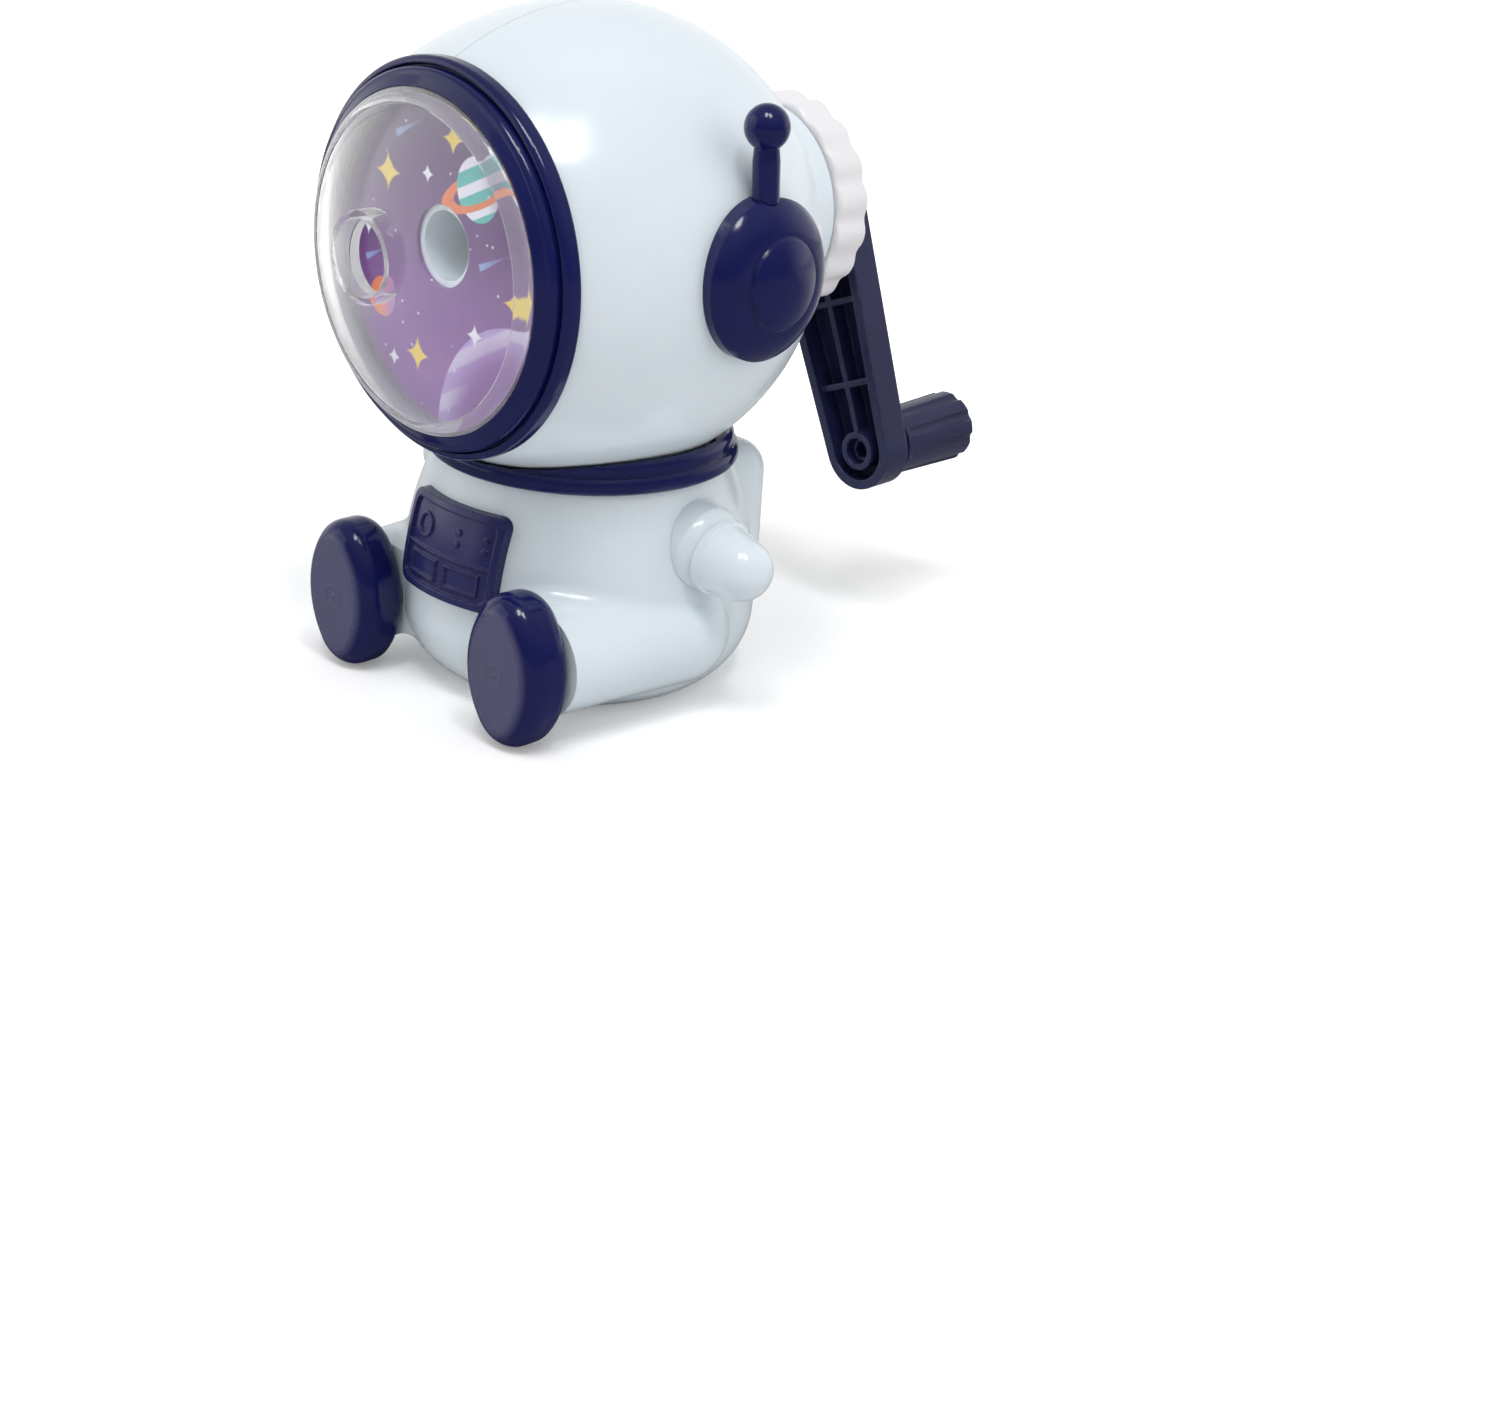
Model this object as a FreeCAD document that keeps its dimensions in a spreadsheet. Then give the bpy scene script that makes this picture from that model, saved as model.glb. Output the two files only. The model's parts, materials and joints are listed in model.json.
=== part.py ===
"""Crank pencil sharpener in the form of a small sitting figure in a space suit.

The figure faces -Y, the crank is at +Y and +Z is up.  The origin is on the table, under the
middle of the neck.  All lengths are in millimetres and all angles in degrees.
"""
import math
import os

import FreeCAD
import Part
import Sketcher

Vector = FreeCAD.Vector

SIZES = (
    # helmet, a shell of revolution about the pencil's direction, split in its middle plane; its rear
    # boss ends behind the ball
    ("helmet_radius", 31.3),
    ("helmet_height", 60.7),
    ("helmet_wall", 2.0),
    ("helmet_front_radius", 24.5),
    ("helmet_front_length", 24.7),
    ("front_web", 1.5),
    ("window_radius", 19.5),
    ("parting_gap", 0.08),
    ("axis_rise", 2.0),
    ("chamber_front", 14.0),
    ("chamber_rear", 13.0),
    ("chamber_wall", 2.0),
    ("boss_radius", 14.5),
    ("boss_end", 1.7),
    ("journal_radius", 9.5),
    ("journal_length", 3.6),
    ("guide_bore", 4.4),
    ("guide_wall", 1.8),
    # neck: spigot under the helmet, ring on the torso, collar round it; the collar's seat is measured
    # down from where the ball meets the neck, and the ring and the collar stand up from the seat
    ("neck_height", 2.0),
    ("spigot_radius", 16.0),
    ("spigot_wall", 3.0),
    ("spigot_depth", 4.5),
    ("key_height", 0.9),
    ("key_width", 8.4),
    ("neck_wall", 1.7),
    ("collar_seat", 2.3),
    ("collar_radius", 21.9),
    ("collar_step", 0.8),
    ("collar_lower_tier", 2.5),
    ("collar_top", 4.5),
    ("collar_round", 1.0),
    # bezel, window and card
    ("bezel_radius", 25.3),
    ("bezel_depth", 4.4),
    ("bezel_band", 2.2),
    ("bezel_groove", 1.3),
    ("bezel_round", 0.9),
    ("tongue_radius", 23.4),
    ("tongue_width", 1.0),
    ("tongue_depth", 1.2),
    ("dome_radius", 21.7),
    ("dome_rise", 7.3),
    ("dome_wall", 1.2),
    ("dome_flange", 0.6),
    ("card_thickness", 0.6),
    ("card_hole", 5.2),
    ("guide_ring_radius", 5.8),
    ("guide_ring_bore", 4.9),
    ("guide_ring_length", 2.0),
    # ear muffs, which stand out of the ball, and the antenna, set back from the face of one
    ("ear_radius", 10.4),
    ("ear_forward", 1.2),
    ("ear_rise", 1.0),
    ("ear_edge", 0.5),
    ("ear_face", 2.9),
    ("ear_round", 5.5),
    ("ear_cap_radius", 5.7),
    ("ear_cap_step", 0.5),
    ("ear_cap_rise", 1.3),
    ("ear_peg", 3.0),
    ("antenna_reach", 3.2),
    ("antenna_stem", 1.75),
    ("antenna_neck", 1.6),
    ("antenna_ball", 2.9),
    ("antenna_height", 19.0),
    ("antenna_lean", 4.0),
    ("antenna_peg", 1.2),
    # torso, legs and the box on the back, whose heights are measured down from the collar's seat
    ("torso_wall", 2.0),
    ("base_radius", 18.2),
    ("belly_radius", 25.4),
    ("belly_height", 10.0),
    ("shoulder_radius", 20.8),
    ("leg_radius", 7.6),
    ("leg_spread", 17.3),
    ("leg_splay", 7.0),
    ("leg_height", 10.7),
    ("leg_length", 22.8),
    ("leg_blend", 2.8),
    ("pack_width", 25.0),
    ("pack_bottom", 21.5),
    ("pack_top", 0.6),
    ("pack_reach", 27.2),
    ("pack_round", 4.5),
    ("plate_radius", 15.0),
    ("plate_thickness", 2.0),
    ("plate_ledge", 1.2),
    ("plate_groove_radius", 8.0),
    ("plate_groove_width", 5.0),
    ("plate_groove_depth", 0.4),
    # feet, and arms at a depth below the collar's seat
    ("foot_width", 14.8),
    ("foot_height", 21.4),
    ("foot_thickness", 7.8),
    ("foot_spread", 17.4),
    ("foot_end_radius", 5.6),
    ("foot_round", 3.2),
    ("foot_heel_round", 2.8),
    ("foot_plug", 5.0),
    ("foot_stem_width", 6.0),
    ("foot_stem_height", 5.0),
    ("foot_stem_length", 14.0),
    ("arm_radius", 4.9),
    ("arm_root_radius", 6.1),
    ("arm_reach", 12.0),
    ("arm_cuff", 3.2),
    ("arm_cuff_rise", 0.4),
    ("arm_cuff_width", 0.9),
    ("arm_tip_radius", 4.3),
    ("arm_tip_start", 3.6),
    ("arm_height", 8.2),
    ("arm_offset", 1.3),
    ("arm_root", 23.0),
    ("arm_droop", 8.0),
    ("arm_peg", 2.5),
    # chest panel, whose heights are measured down from the collar's seat
    ("panel_width", 18.8),
    ("panel_bottom", 16.5),
    ("panel_top", 3.7),
    ("panel_corner", 1.8),
    ("panel_thickness", 1.3),
    ("panel_border", 1.0),
    ("panel_recess", 0.4),
    ("panel_relief", 0.3),
    # crank
    ("crank_angle", 22.0),
    ("crank_lean", 1.0),
    ("crank_length", 38.5),
    ("crank_hub_radius", 7.8),
    ("crank_end_radius", 5.9),
    ("crank_thickness", 5.0),
    ("crank_wall", 1.4),
    ("crank_floor", 1.4),
    ("crank_offset", 9.2),
    ("crank_rib", 0.9),
    ("crank_boss", 2.9),
    ("crank_hub_boss", 4.8),
    ("knob_radius", 5.0),
    ("knob_end_radius", 5.4),
    ("knob_length", 15.6),
    ("knob_neck", 1.6),
    ("knob_flutes", 9),
    ("knob_flute_radius", 1.0),
    ("pin_radius", 1.3),
    ("pin_head", 2.0),
    ("shaft_radius", 2.5),
    ("screw_radius", 1.2),
    ("screw_head", 2.8),
    ("screw_head_height", 1.6),
    ("screw_length", 9.0),
    # scalloped ring
    ("ring_radius", 15.6),
    ("ring_width", 6.0),
    ("ring_hole", 6.6),
    ("ring_scallops", 18),
    ("ring_scallop_radius", 2.9),
    ("ring_scallop_depth", 1.1),
    ("ring_edge", 0.4),
    # cutter, which leans towards the pencil's point
    ("cutter_radius", 5.0),
    ("cutter_length", 17.0),
    ("cutter_teeth", 12),
    ("cutter_tooth_depth", 0.8),
    ("cutter_twist", 70.0),
    ("point_angle", 12.0),
    ("point_place", 6.5),
    ("axle_radius", 1.2),
    ("pinion_teeth", 12),
    ("pinion_width", 2.6),
    ("gear_teeth", 24),
    ("tooth_height", 0.4),
    ("tooth_clearance", 0.9),
    ("tooth_backlash", 0.3),
    ("pressure_angle", 20.0),
    ("gear_wall", 1.8),
    ("carrier_disc_radius", 12.3),
    ("carrier_disc", 2.4),
    ("carrier_radius", 10.4),
    ("carrier_tail", 8.6),
    ("carrier_tail_start", 5.2),
    ("pencil_bore", 4.4),
    # clearances
    ("press_gap", 0.02),
    ("run_gap", 0.05),
    ("move_gap", 0.4),
)

doc = FreeCAD.newDocument("CrankSharpener")
sheet = doc.addObject("Spreadsheet::Sheet", "Sizes")
for row, (alias, number) in enumerate(SIZES, 1):
    sheet.set(f"A{row}", alias)
    sheet.set(f"B{row}", str(number))
    sheet.setAlias(f"B{row}", alias)
doc.recompute()


class Dim:
    """A size: its value now and the sheet expression that drives it."""

    def __init__(self, value, text):
        self.value = float(value)
        self.text = text

    def __add__(self, other):
        other = dim(other)
        return Dim(self.value + other.value, f"({self.text} + {other.text})")

    def __sub__(self, other):
        other = dim(other)
        return Dim(self.value - other.value, f"({self.text} - {other.text})")

    def __mul__(self, other):
        other = dim(other)
        return Dim(self.value * other.value, f"({self.text} * {other.text})")

    def __truediv__(self, other):
        other = dim(other)
        return Dim(self.value / other.value, f"({self.text} / {other.text})")

    def __radd__(self, other):
        return dim(other) + self

    def __rsub__(self, other):
        return dim(other) - self

    def __rmul__(self, other):
        return dim(other) * self

    def __rtruediv__(self, other):
        return dim(other) / self

    def __neg__(self):
        return Dim(-self.value, f"(-{self.text})")

    def driven(self):
        """Say whether a cell of the sheet has a part in this size."""
        return "Sizes." in self.text


def dim(number):
    """Give a plain number the form of a size."""
    if isinstance(number, Dim):
        return number
    return Dim(number, f"({float(number)!r})")


def root(size):
    return Dim(math.sqrt(size.value), f"sqrt({size.text})")


def sine(angle):
    return Dim(math.sin(math.radians(angle.value)), f"sin({angle.text})")


def cosine(angle):
    return Dim(math.cos(math.radians(angle.value)), f"cos({angle.text})")


def tangent(angle):
    return Dim(math.tan(math.radians(angle.value)), f"tan({angle.text})")


def leg_of(hypotenuse, side):
    """Other short side of a right triangle."""
    return root(hypotenuse * hypotenuse - side * side)


def crown(rise, span):
    """Radius of the arc that rises by one size over the span of another, level at one end."""
    return (rise * rise + span * span) / (2 * rise)


class Sizes:
    """The driving sizes by name."""

    def __getattr__(self, alias):
        return Dim(sheet.get(alias), f"Sizes.{alias}")


s = Sizes()
NODES = []


def node(thing, label):
    """Name a finished sub-part, which also names its file."""
    thing.Label = label
    NODES.append(thing)
    return thing


def bind(thing, **sizes):
    """Drive properties of an object from the sheet."""
    for name, size in sizes.items():
        thing.setExpression(name, dim(size).text)
    return thing


def put(thing, x, y, z, *turns):
    """Place an object, with turns given as ("x", angle), the outermost first."""
    spin = " * ".join(f"rotation{axis}({dim(angle).text})" for axis, angle in turns) or "rotationx(0)"
    place = "; ".join(dim(value).text for value in (x, y, z))
    thing.setExpression("Placement", f"placement(vector({place}); {spin})")
    return thing


def cylinder(name, radius, length, x, y, z, *turns):
    """A round bar that runs from a point along +Z before its turns."""
    return put(bind(doc.addObject("Part::Cylinder", name), Radius=radius, Height=length), x, y, z, *turns)


def bar_y(name, radius, start, end, height, x=0):
    """A round bar along +Y from one depth to another."""
    return cylinder(name, radius, end - start, x, start, height, ("x", -90))


def box(name, x, y, z, *turns):
    """A block given by its (low, high) limits along each axis."""
    block = doc.addObject("Part::Box", name)
    bind(block, Length=dim(x[1]) - x[0], Width=dim(y[1]) - y[0], Height=dim(z[1]) - z[0])
    return put(block, x[0], y[0], z[0], *turns)


def fuse(name, *shapes):
    joined = doc.addObject("Part::MultiFuse", name)
    joined.Shapes = list(shapes)
    return joined


def common(name, *shapes):
    shared = doc.addObject("Part::MultiCommon", name)
    shared.Shapes = list(shapes)
    return shared


def cut(name, base, *tools):
    """Take one or more tools away from a base."""
    less = doc.addObject("Part::Cut", name)
    less.Base = base
    less.Tool = tools[0] if len(tools) == 1 else fuse(f"{name}_tools", *tools)
    return less


def bulge(radius):
    """An arc that swells out of the outline."""
    return ("bulge", dim(radius))


def hollow(radius):
    """An arc that bites into the outline."""
    return ("hollow", dim(radius))


def sketch_on(body, name, role):
    """Start a sketch on one of the body's own planes."""
    sketch = body.newObject("Sketcher::SketchObject", name)
    plane = next(item for item in body.Origin.OriginFeatures if item.Role == role)
    sketch.AttachmentSupport = [(plane, "")]
    sketch.MapMode = "FlatFace"
    return sketch


def fix_point(sketch, geometry, position, u, v):
    """Hold a point of a sketch at driven distances from the sketch's origin."""
    for kind, size, axis in (("DistanceX", dim(u), -2), ("DistanceY", dim(v), -1)):
        if size.value == 0 and not size.driven():
            sketch.addConstraint(Sketcher.Constraint("PointOnObject", geometry, position, axis))
            continue
        index = sketch.addConstraint(Sketcher.Constraint(kind, -1, 1, geometry, position, size.value))
        if size.driven():
            sketch.setExpression(f"Constraints[{index}]", size.text)


def fix_radius(sketch, geometry, radius):
    index = sketch.addConstraint(Sketcher.Constraint("Radius", geometry, radius.value))
    if radius.driven():
        sketch.setExpression(f"Constraints[{index}]", radius.text)


def draw(sketch, corners):
    """Draw a closed outline; a corner is (u, v), with an arc as a third item where one ends there."""
    points = [Vector(dim(corner[0]).value, dim(corner[1]).value, 0) for corner in corners]
    area = sum(points[i - 1].x * points[i].y - points[i].x * points[i - 1].y for i in range(len(points)))
    first = sketch.GeometryCount
    ends = []
    for i, corner in enumerate(corners):
        start, end = points[i - 1], points[i]
        if len(corner) == 2:
            sketch.addGeometry(Part.LineSegment(start, end), False)
            ends.append((1, 2))
            continue
        form, radius = corner[2]
        leftward = (form == "bulge") == (area > 0)
        chord = end - start
        away = math.sqrt(max(radius.value ** 2 - chord.Length ** 2 / 4, 0))
        normal = Vector(-chord.y, chord.x, 0).normalize()
        centre = (start + end) * 0.5 + normal * (away if leftward else -away)
        low, high = (start, end) if leftward else (end, start)
        angles = [math.atan2(point.y - centre.y, point.x - centre.x) for point in (low, high)]
        if angles[1] < angles[0]:
            angles[1] += 2 * math.pi
        circle = Part.Circle(centre, Vector(0, 0, 1), radius.value)
        sketch.addGeometry(Part.ArcOfCircle(circle, *angles), False)
        ends.append((1, 2) if leftward else (2, 1))
    for i, corner in enumerate(corners):
        after = (i + 1) % len(corners)
        joint = Sketcher.Constraint("Coincident", first + i, ends[i][1], first + after, ends[after][0])
        sketch.addConstraint(joint)
        fix_point(sketch, first + i, ends[i][1], corner[0], corner[1])
        if len(corner) == 3:
            fix_radius(sketch, first + i, corner[2][1])
    return sketch


def draw_circle(sketch, u, v, radius):
    """Draw a circle at a driven place."""
    centre = Vector(dim(u).value, dim(v).value, 0)
    geometry = sketch.addGeometry(Part.Circle(centre, Vector(0, 0, 1), dim(radius).value), False)
    fix_point(sketch, geometry, 3, u, v)
    fix_radius(sketch, geometry, dim(radius))
    return sketch


def new_body(name):
    return doc.addObject("PartDesign::Body", name)


def turned(name, axis, corners):
    """A body turned about its own X, Y or Z axis; a corner is (along, radius) with any arc."""
    body = new_body(name)
    sketch = sketch_on(body, f"{name}_section", "YZ_Plane" if axis == "y" else "XZ_Plane")
    draw(sketch, [(c[1], c[0], *c[2:]) for c in corners] if axis == "z" else corners)
    revolution = body.newObject("PartDesign::Revolution", f"{name}_turn")
    revolution.Profile = sketch
    revolution.ReferenceAxis = (sketch, ["V_Axis" if axis == "z" else "H_Axis"])
    revolution.Angle = 360
    return body


def pad(body, name, sketch, length, kind="PartDesign::Pad", towards_back=True):
    """Raise or sink a sketch drawn on the XZ plane, towards +Y unless told otherwise."""
    feature = body.newObject(kind, name)
    feature.Profile = sketch
    bind(feature, Length=length)
    feature.Reversed = towards_back == (kind == "PartDesign::Pad")
    return feature


def lift(sketch, depth):
    """Move an XZ sketch along +Y."""
    sketch.setExpression("AttachmentOffset.Base.z", (-dim(depth)).text)
    return sketch


def repeat(body, name, feature, count):
    """Repeat a feature round the body's Y axis."""
    pattern = body.newObject("PartDesign::PolarPattern", name)
    pattern.Originals = [feature]
    axis = next(item for item in body.Origin.OriginFeatures if item.Role == "Y_Axis")
    pattern.Axis = (axis, [""])
    pattern.Angle = 360
    bind(pattern, Occurrences=count)
    body.Tip = pattern
    return pattern


def rounded_rectangle(left, right, low, high, corner):
    """Corners of a rectangle with rounded corners, anticlockwise."""
    return [
        (right - corner, low),
        (right, low + corner, bulge(corner)),
        (right, high - corner),
        (right - corner, high, bulge(corner)),
        (left + corner, high),
        (left, high - corner, bulge(corner)),
        (left, low + corner),
        (left + corner, low, bulge(corner)),
    ]


def slab(name, corners, start, end):
    """A plate between two depths with an outline given in X and Z."""
    body = new_body(name)
    sketch = lift(draw(sketch_on(body, f"{name}_outline", "XZ_Plane"), corners), start)
    pad(body, f"{name}_pad", sketch, end - start)
    return body


def round_edges(body, name, base, depth, radius):
    """Round the edges of a pad that lie at one depth along Y."""
    doc.recompute()
    names = [
        f"Edge{i}"
        for i, edge in enumerate(base.Shape.Edges, 1)
        if abs(edge.BoundBox.YMin - depth.value) < 1e-4 and abs(edge.BoundBox.YMax - depth.value) < 1e-4
    ]
    fillet = body.newObject("PartDesign::Fillet", name)
    fillet.Base = (base, names)
    bind(fillet, Radius=radius)
    return fillet


def soften(name, solid, edges, radius):
    """Round the named edges of a joined solid."""
    body = new_body(name)
    body.BaseFeature = solid
    fillet = body.newObject("PartDesign::Fillet", f"{name}_edges")
    fillet.Base = (body.Group[0], edges)
    bind(fillet, Radius=radius)
    return body


axis_height = s.helmet_height + s.axis_rise
ear_height = s.helmet_height + s.ear_rise
neck_bore = s.spigot_radius + s.move_gap / 2
neck_ring = neck_bore + s.neck_wall
seat = s.helmet_height - leg_of(s.helmet_radius, neck_bore) - s.collar_seat
neck_top = seat + s.neck_height
boss_face = s.helmet_radius + s.boss_end
ear_edge = s.helmet_radius + s.ear_edge
ear_face = s.helmet_radius + s.ear_face
front = -s.helmet_front_length
front_arc = crown(s.helmet_radius - s.helmet_front_radius, s.helmet_front_length)
upper_arc = crown(s.belly_radius - s.shoulder_radius, seat - s.belly_height)
lower_arc = crown(s.belly_radius - s.base_radius, s.belly_height)


def helmet_form(name, inset, front_end):
    """The helmet's outer form, or its hollow when inset by the wall."""
    span = front_arc - inset
    edge = s.helmet_radius - front_arc + leg_of(span, front_end)
    ball = s.helmet_radius - inset
    form = turned(name, "y", [
        (front_end, 0),
        (front_end, edge),
        (0, ball, bulge(span)),
        (ball, 0, bulge(ball)),
    ])
    return put(form, 0, 0, s.helmet_height)


def torso_form(name, skin):
    """The torso's turned form from belly to shoulder, grown outwards by a skin."""
    span = upper_arc + skin
    top = s.belly_radius - upper_arc + leg_of(span, seat - s.belly_height)
    return turned(name, "z", [
        (s.belly_height, 0),
        (s.belly_height, s.belly_radius + skin),
        (seat, top, bulge(span)),
        (seat, 0),
    ])


helmet_outer = helmet_form("helmet_outer", dim(0), front)
helmet_room = helmet_form("helmet_room", -s.move_gap, front)
torso_outer = turned("torso_outer", "z", [
    (0, 0),
    (0, s.base_radius),
    (s.belly_height, s.belly_radius, bulge(lower_arc)),
    (seat, s.shoulder_radius, bulge(upper_arc)),
    (seat, neck_ring),
    (neck_top, neck_ring),
    (neck_top, 0),
])


def leg_place(thing, sign):
    """Put a leg's frame at the middle of its front end, with +Y along the leg to the splayed hip."""
    return put(thing, sign * s.leg_spread, -s.leg_length, s.leg_height, ("z", -sign * s.leg_splay))


def leg_bar(name, sign, radius):
    """Round bar along a leg, from ahead of its front end to a domed hip."""
    form = turned(name, "y", [
        (-radius, 0),
        (-radius, radius),
        (s.leg_length, radius),
        (s.leg_length + radius, 0, bulge(radius)),
    ])
    return leg_place(form, sign)


def leg(side, sign):
    """Round leg, cut off square behind the foot."""
    reach = s.belly_radius * 2
    ahead = box(f"{side}_leg_front", (-reach, reach), (-s.leg_length - reach, -s.leg_length), (-reach, reach))
    return cut(f"{side}_leg", leg_bar(f"{side}_leg_bar", sign, s.leg_radius), ahead)


def leg_roots(shape):
    """Names of the edges where the round legs run into the torso's turned form."""
    names = []
    for i, edge in enumerate(shape.Edges, 1):
        faces = [face.Surface for face in shape.ancestorsOfType(edge, Part.Face)]
        round_leg = any(
            isinstance(face, (Part.Cylinder, Part.Sphere)) and abs(face.Radius - s.leg_radius.value) < 1e-6
            for face in faces)
        if round_leg and len(faces) == 2 and not any(isinstance(face, Part.Plane) for face in faces):
            names.append(f"Edge{i}")
    return names


def torso_mass():
    """The outside of the torso as one solid: turned form, legs that blend into it, and back box."""
    pack = new_body("pack")
    half = s.pack_width / 2
    outline = rounded_rectangle(-half, half, seat - s.pack_bottom, seat - s.pack_top, s.pack_round)
    pack_pad = pad(pack, "pack_pad", draw(sketch_on(pack, "pack_outline", "XZ_Plane"), outline), s.pack_reach)
    round_edges(pack, "pack_edges", pack_pad, s.pack_reach, s.pack_round)
    joined = fuse("torso_joined", torso_outer, leg("left", 1), leg("right", -1), pack)
    doc.recompute()
    return soften("torso_mass", joined, leg_roots(joined.Shape), s.leg_blend)


torso_solid = torso_mass()


def torso_shell():
    """Torso, legs and back box as one hollow moulding, open at the neck and underneath."""
    wall = s.torso_wall
    ceiling = seat - wall
    ledge_top = s.plate_thickness + s.plate_ledge
    belly_centre = s.belly_radius - lower_arc
    inner = [turned("torso_hollow", "z", [
        (ledge_top, 0),
        (ledge_top, belly_centre + leg_of(lower_arc - wall, s.belly_height - ledge_top)),
        (s.belly_height, s.belly_radius - wall, bulge(lower_arc - wall)),
        (ceiling, s.belly_radius - upper_arc + leg_of(upper_arc - wall, ceiling - s.belly_height),
         bulge(upper_arc - wall)),
        (ceiling, neck_bore),
        (neck_top + 1, neck_bore),
        (neck_top + 1, 0),
    ])]
    for side, sign in (("left", 1), ("right", -1)):
        inner.append(leg_bar(f"{side}_leg_bore", sign, s.leg_radius - wall))
        inner.append(arm_peg(side, s.arm_peg + s.press_gap, "hole"))
    half = s.pack_width / 2 - wall
    inner.append(slab("pack_hollow", rounded_rectangle(
        -half, half, seat - s.pack_bottom + wall, seat - s.pack_top - wall, s.pack_round / 2),
        dim(2), s.pack_reach - wall))
    inner.append(helmet_room)
    inner.append(cylinder("plate_recess", s.plate_radius + s.run_gap, s.plate_thickness, 0, 0, 0))
    inner.append(cylinder("plate_opening", s.plate_radius - s.plate_ledge, ledge_top, 0, 0, 0))
    notch_bar = cylinder("notch_bar", neck_bore + s.key_height + s.press_gap, neck_top, 0, 0, ceiling)
    notch_half = s.key_width / 2 + s.move_gap
    reach = s.collar_radius
    inner.append(common("notches", notch_bar, box(
        "notch_limits", (-reach, reach), (-notch_half, notch_half), (ceiling, neck_top + 1))))
    return node(cut("torso_shell", torso_solid, *inner), "torso_shell")


def base_plate():
    """Disc let into the bottom of the torso, with a shallow groove on its underside."""
    groove_inside = s.plate_groove_radius - s.plate_groove_width / 2
    groove_outside = s.plate_groove_radius + s.plate_groove_width / 2
    deep = s.plate_groove_depth
    plate = turned("base_plate", "z", [
        (0, 0),
        (0, groove_inside),
        (deep, groove_inside + deep),
        (deep, groove_outside - deep),
        (0, groove_outside),
        (0, s.plate_radius),
        (s.plate_thickness, s.plate_radius),
        (s.plate_thickness, 0),
    ])
    return node(plate, "base_plate")


def neck_collar():
    """Two-tier ring whose hollow top clears the helmet."""
    small = s.collar_round
    step = seat + s.collar_lower_tier
    top = seat + s.collar_top
    upper = s.collar_radius - s.collar_step
    bore = neck_ring + s.press_gap
    ring = turned("collar_ring", "z", [
        (seat, bore),
        (seat, s.collar_radius - small),
        (seat + small, s.collar_radius, bulge(small)),
        (step - small, s.collar_radius),
        (step, s.collar_radius - small, bulge(small)),
        (step, upper),
        (top - small, upper),
        (top, upper - small, bulge(small)),
        (top, bore),
    ])
    return node(cut("neck_collar", ring, helmet_room), "neck_collar")


def chest_panel():
    """Curved panel that follows the chest: raised border, ring, dots, line and two frames."""
    half = s.panel_width / 2
    border = s.panel_border
    back, ahead = -s.belly_radius * 1.5, -s.shoulder_radius / 2
    low, high = seat - s.panel_bottom, seat - s.panel_top
    face = torso_form("panel_face", s.panel_thickness)
    floor = torso_form("panel_floor", s.panel_thickness - s.panel_recess)
    relief = torso_form("panel_relief_form", s.panel_thickness - s.panel_recess + s.panel_relief)
    blank = slab("panel_blank", rounded_rectangle(-half, half, low, high, s.panel_corner), back, ahead)
    field_low, field_high = low + border, high - border
    field = slab("panel_field", rounded_rectangle(
        border - half, half - border, field_low, field_high, s.panel_corner - border / 2), back, ahead)
    plate = cut("panel_plate", common("panel_skin", blank, face), cut("panel_sink", field, floor))
    middle = low + (high - low) * 0.45
    line = border / 3
    top_middle = (middle + field_high) / 2
    ring = cut("panel_ring", bar_y("panel_ring_rim", border * 1.7, back, ahead, top_middle, -half / 2),
               bar_y("panel_ring_eye", border * 1.3, back, ahead, top_middle, -half / 2))
    marks = [ring, box("panel_line", (border - half, half - border), (back, ahead),
                       (middle - line / 2, middle + line / 2))]
    for i in range(4):
        across = half * 0.25 + half * 0.5 * (i % 2)
        up = top_middle + border * (0.8 if i < 2 else -0.8)
        marks.append(bar_y(f"panel_dot_{i}", border * 0.45, back, ahead, up, across))
    for i, sign in enumerate((-1, 1)):
        centre = sign * half * 0.42
        wide, tall = half * 0.33, (middle - field_low) * 0.32
        up = (middle + field_low) / 2
        frame = box(f"panel_key_{i}", (centre - wide, centre + wide), (back, ahead), (up - tall, up + tall))
        inside = box(f"panel_key_field_{i}", (centre - wide + line, centre + wide - line), (back, ahead),
                     (up - tall + line, up + tall - line))
        marks.append(cut(f"panel_frame_{i}", frame, inside))
    raised = common("panel_marks", fuse("panel_mark_bars", *marks), relief)
    panel = cut("chest_panel", fuse("panel_solid", plate, raised), torso_solid)
    return node(panel, "chest_panel")


def arm_place(thing, side):
    """Put an arm's frame at the torso wall, drooping outwards."""
    height = seat - s.arm_height
    if side == "left":
        return put(thing, s.arm_root, s.arm_offset, height, ("y", s.arm_droop))
    return put(thing, -s.arm_root, s.arm_offset, height, ("z", 180), ("y", s.arm_droop))


def arm_peg(side, radius, name):
    """Peg of an arm, or the hole for it, through the torso wall."""
    peg = turned(f"{side}_arm_{name}", "x", [
        (-s.torso_wall * 1.5, 0),
        (-s.torso_wall * 1.5, radius),
        (s.torso_wall * 2, radius),
        (s.torso_wall * 2, 0),
    ])
    return arm_place(peg, side)


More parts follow.
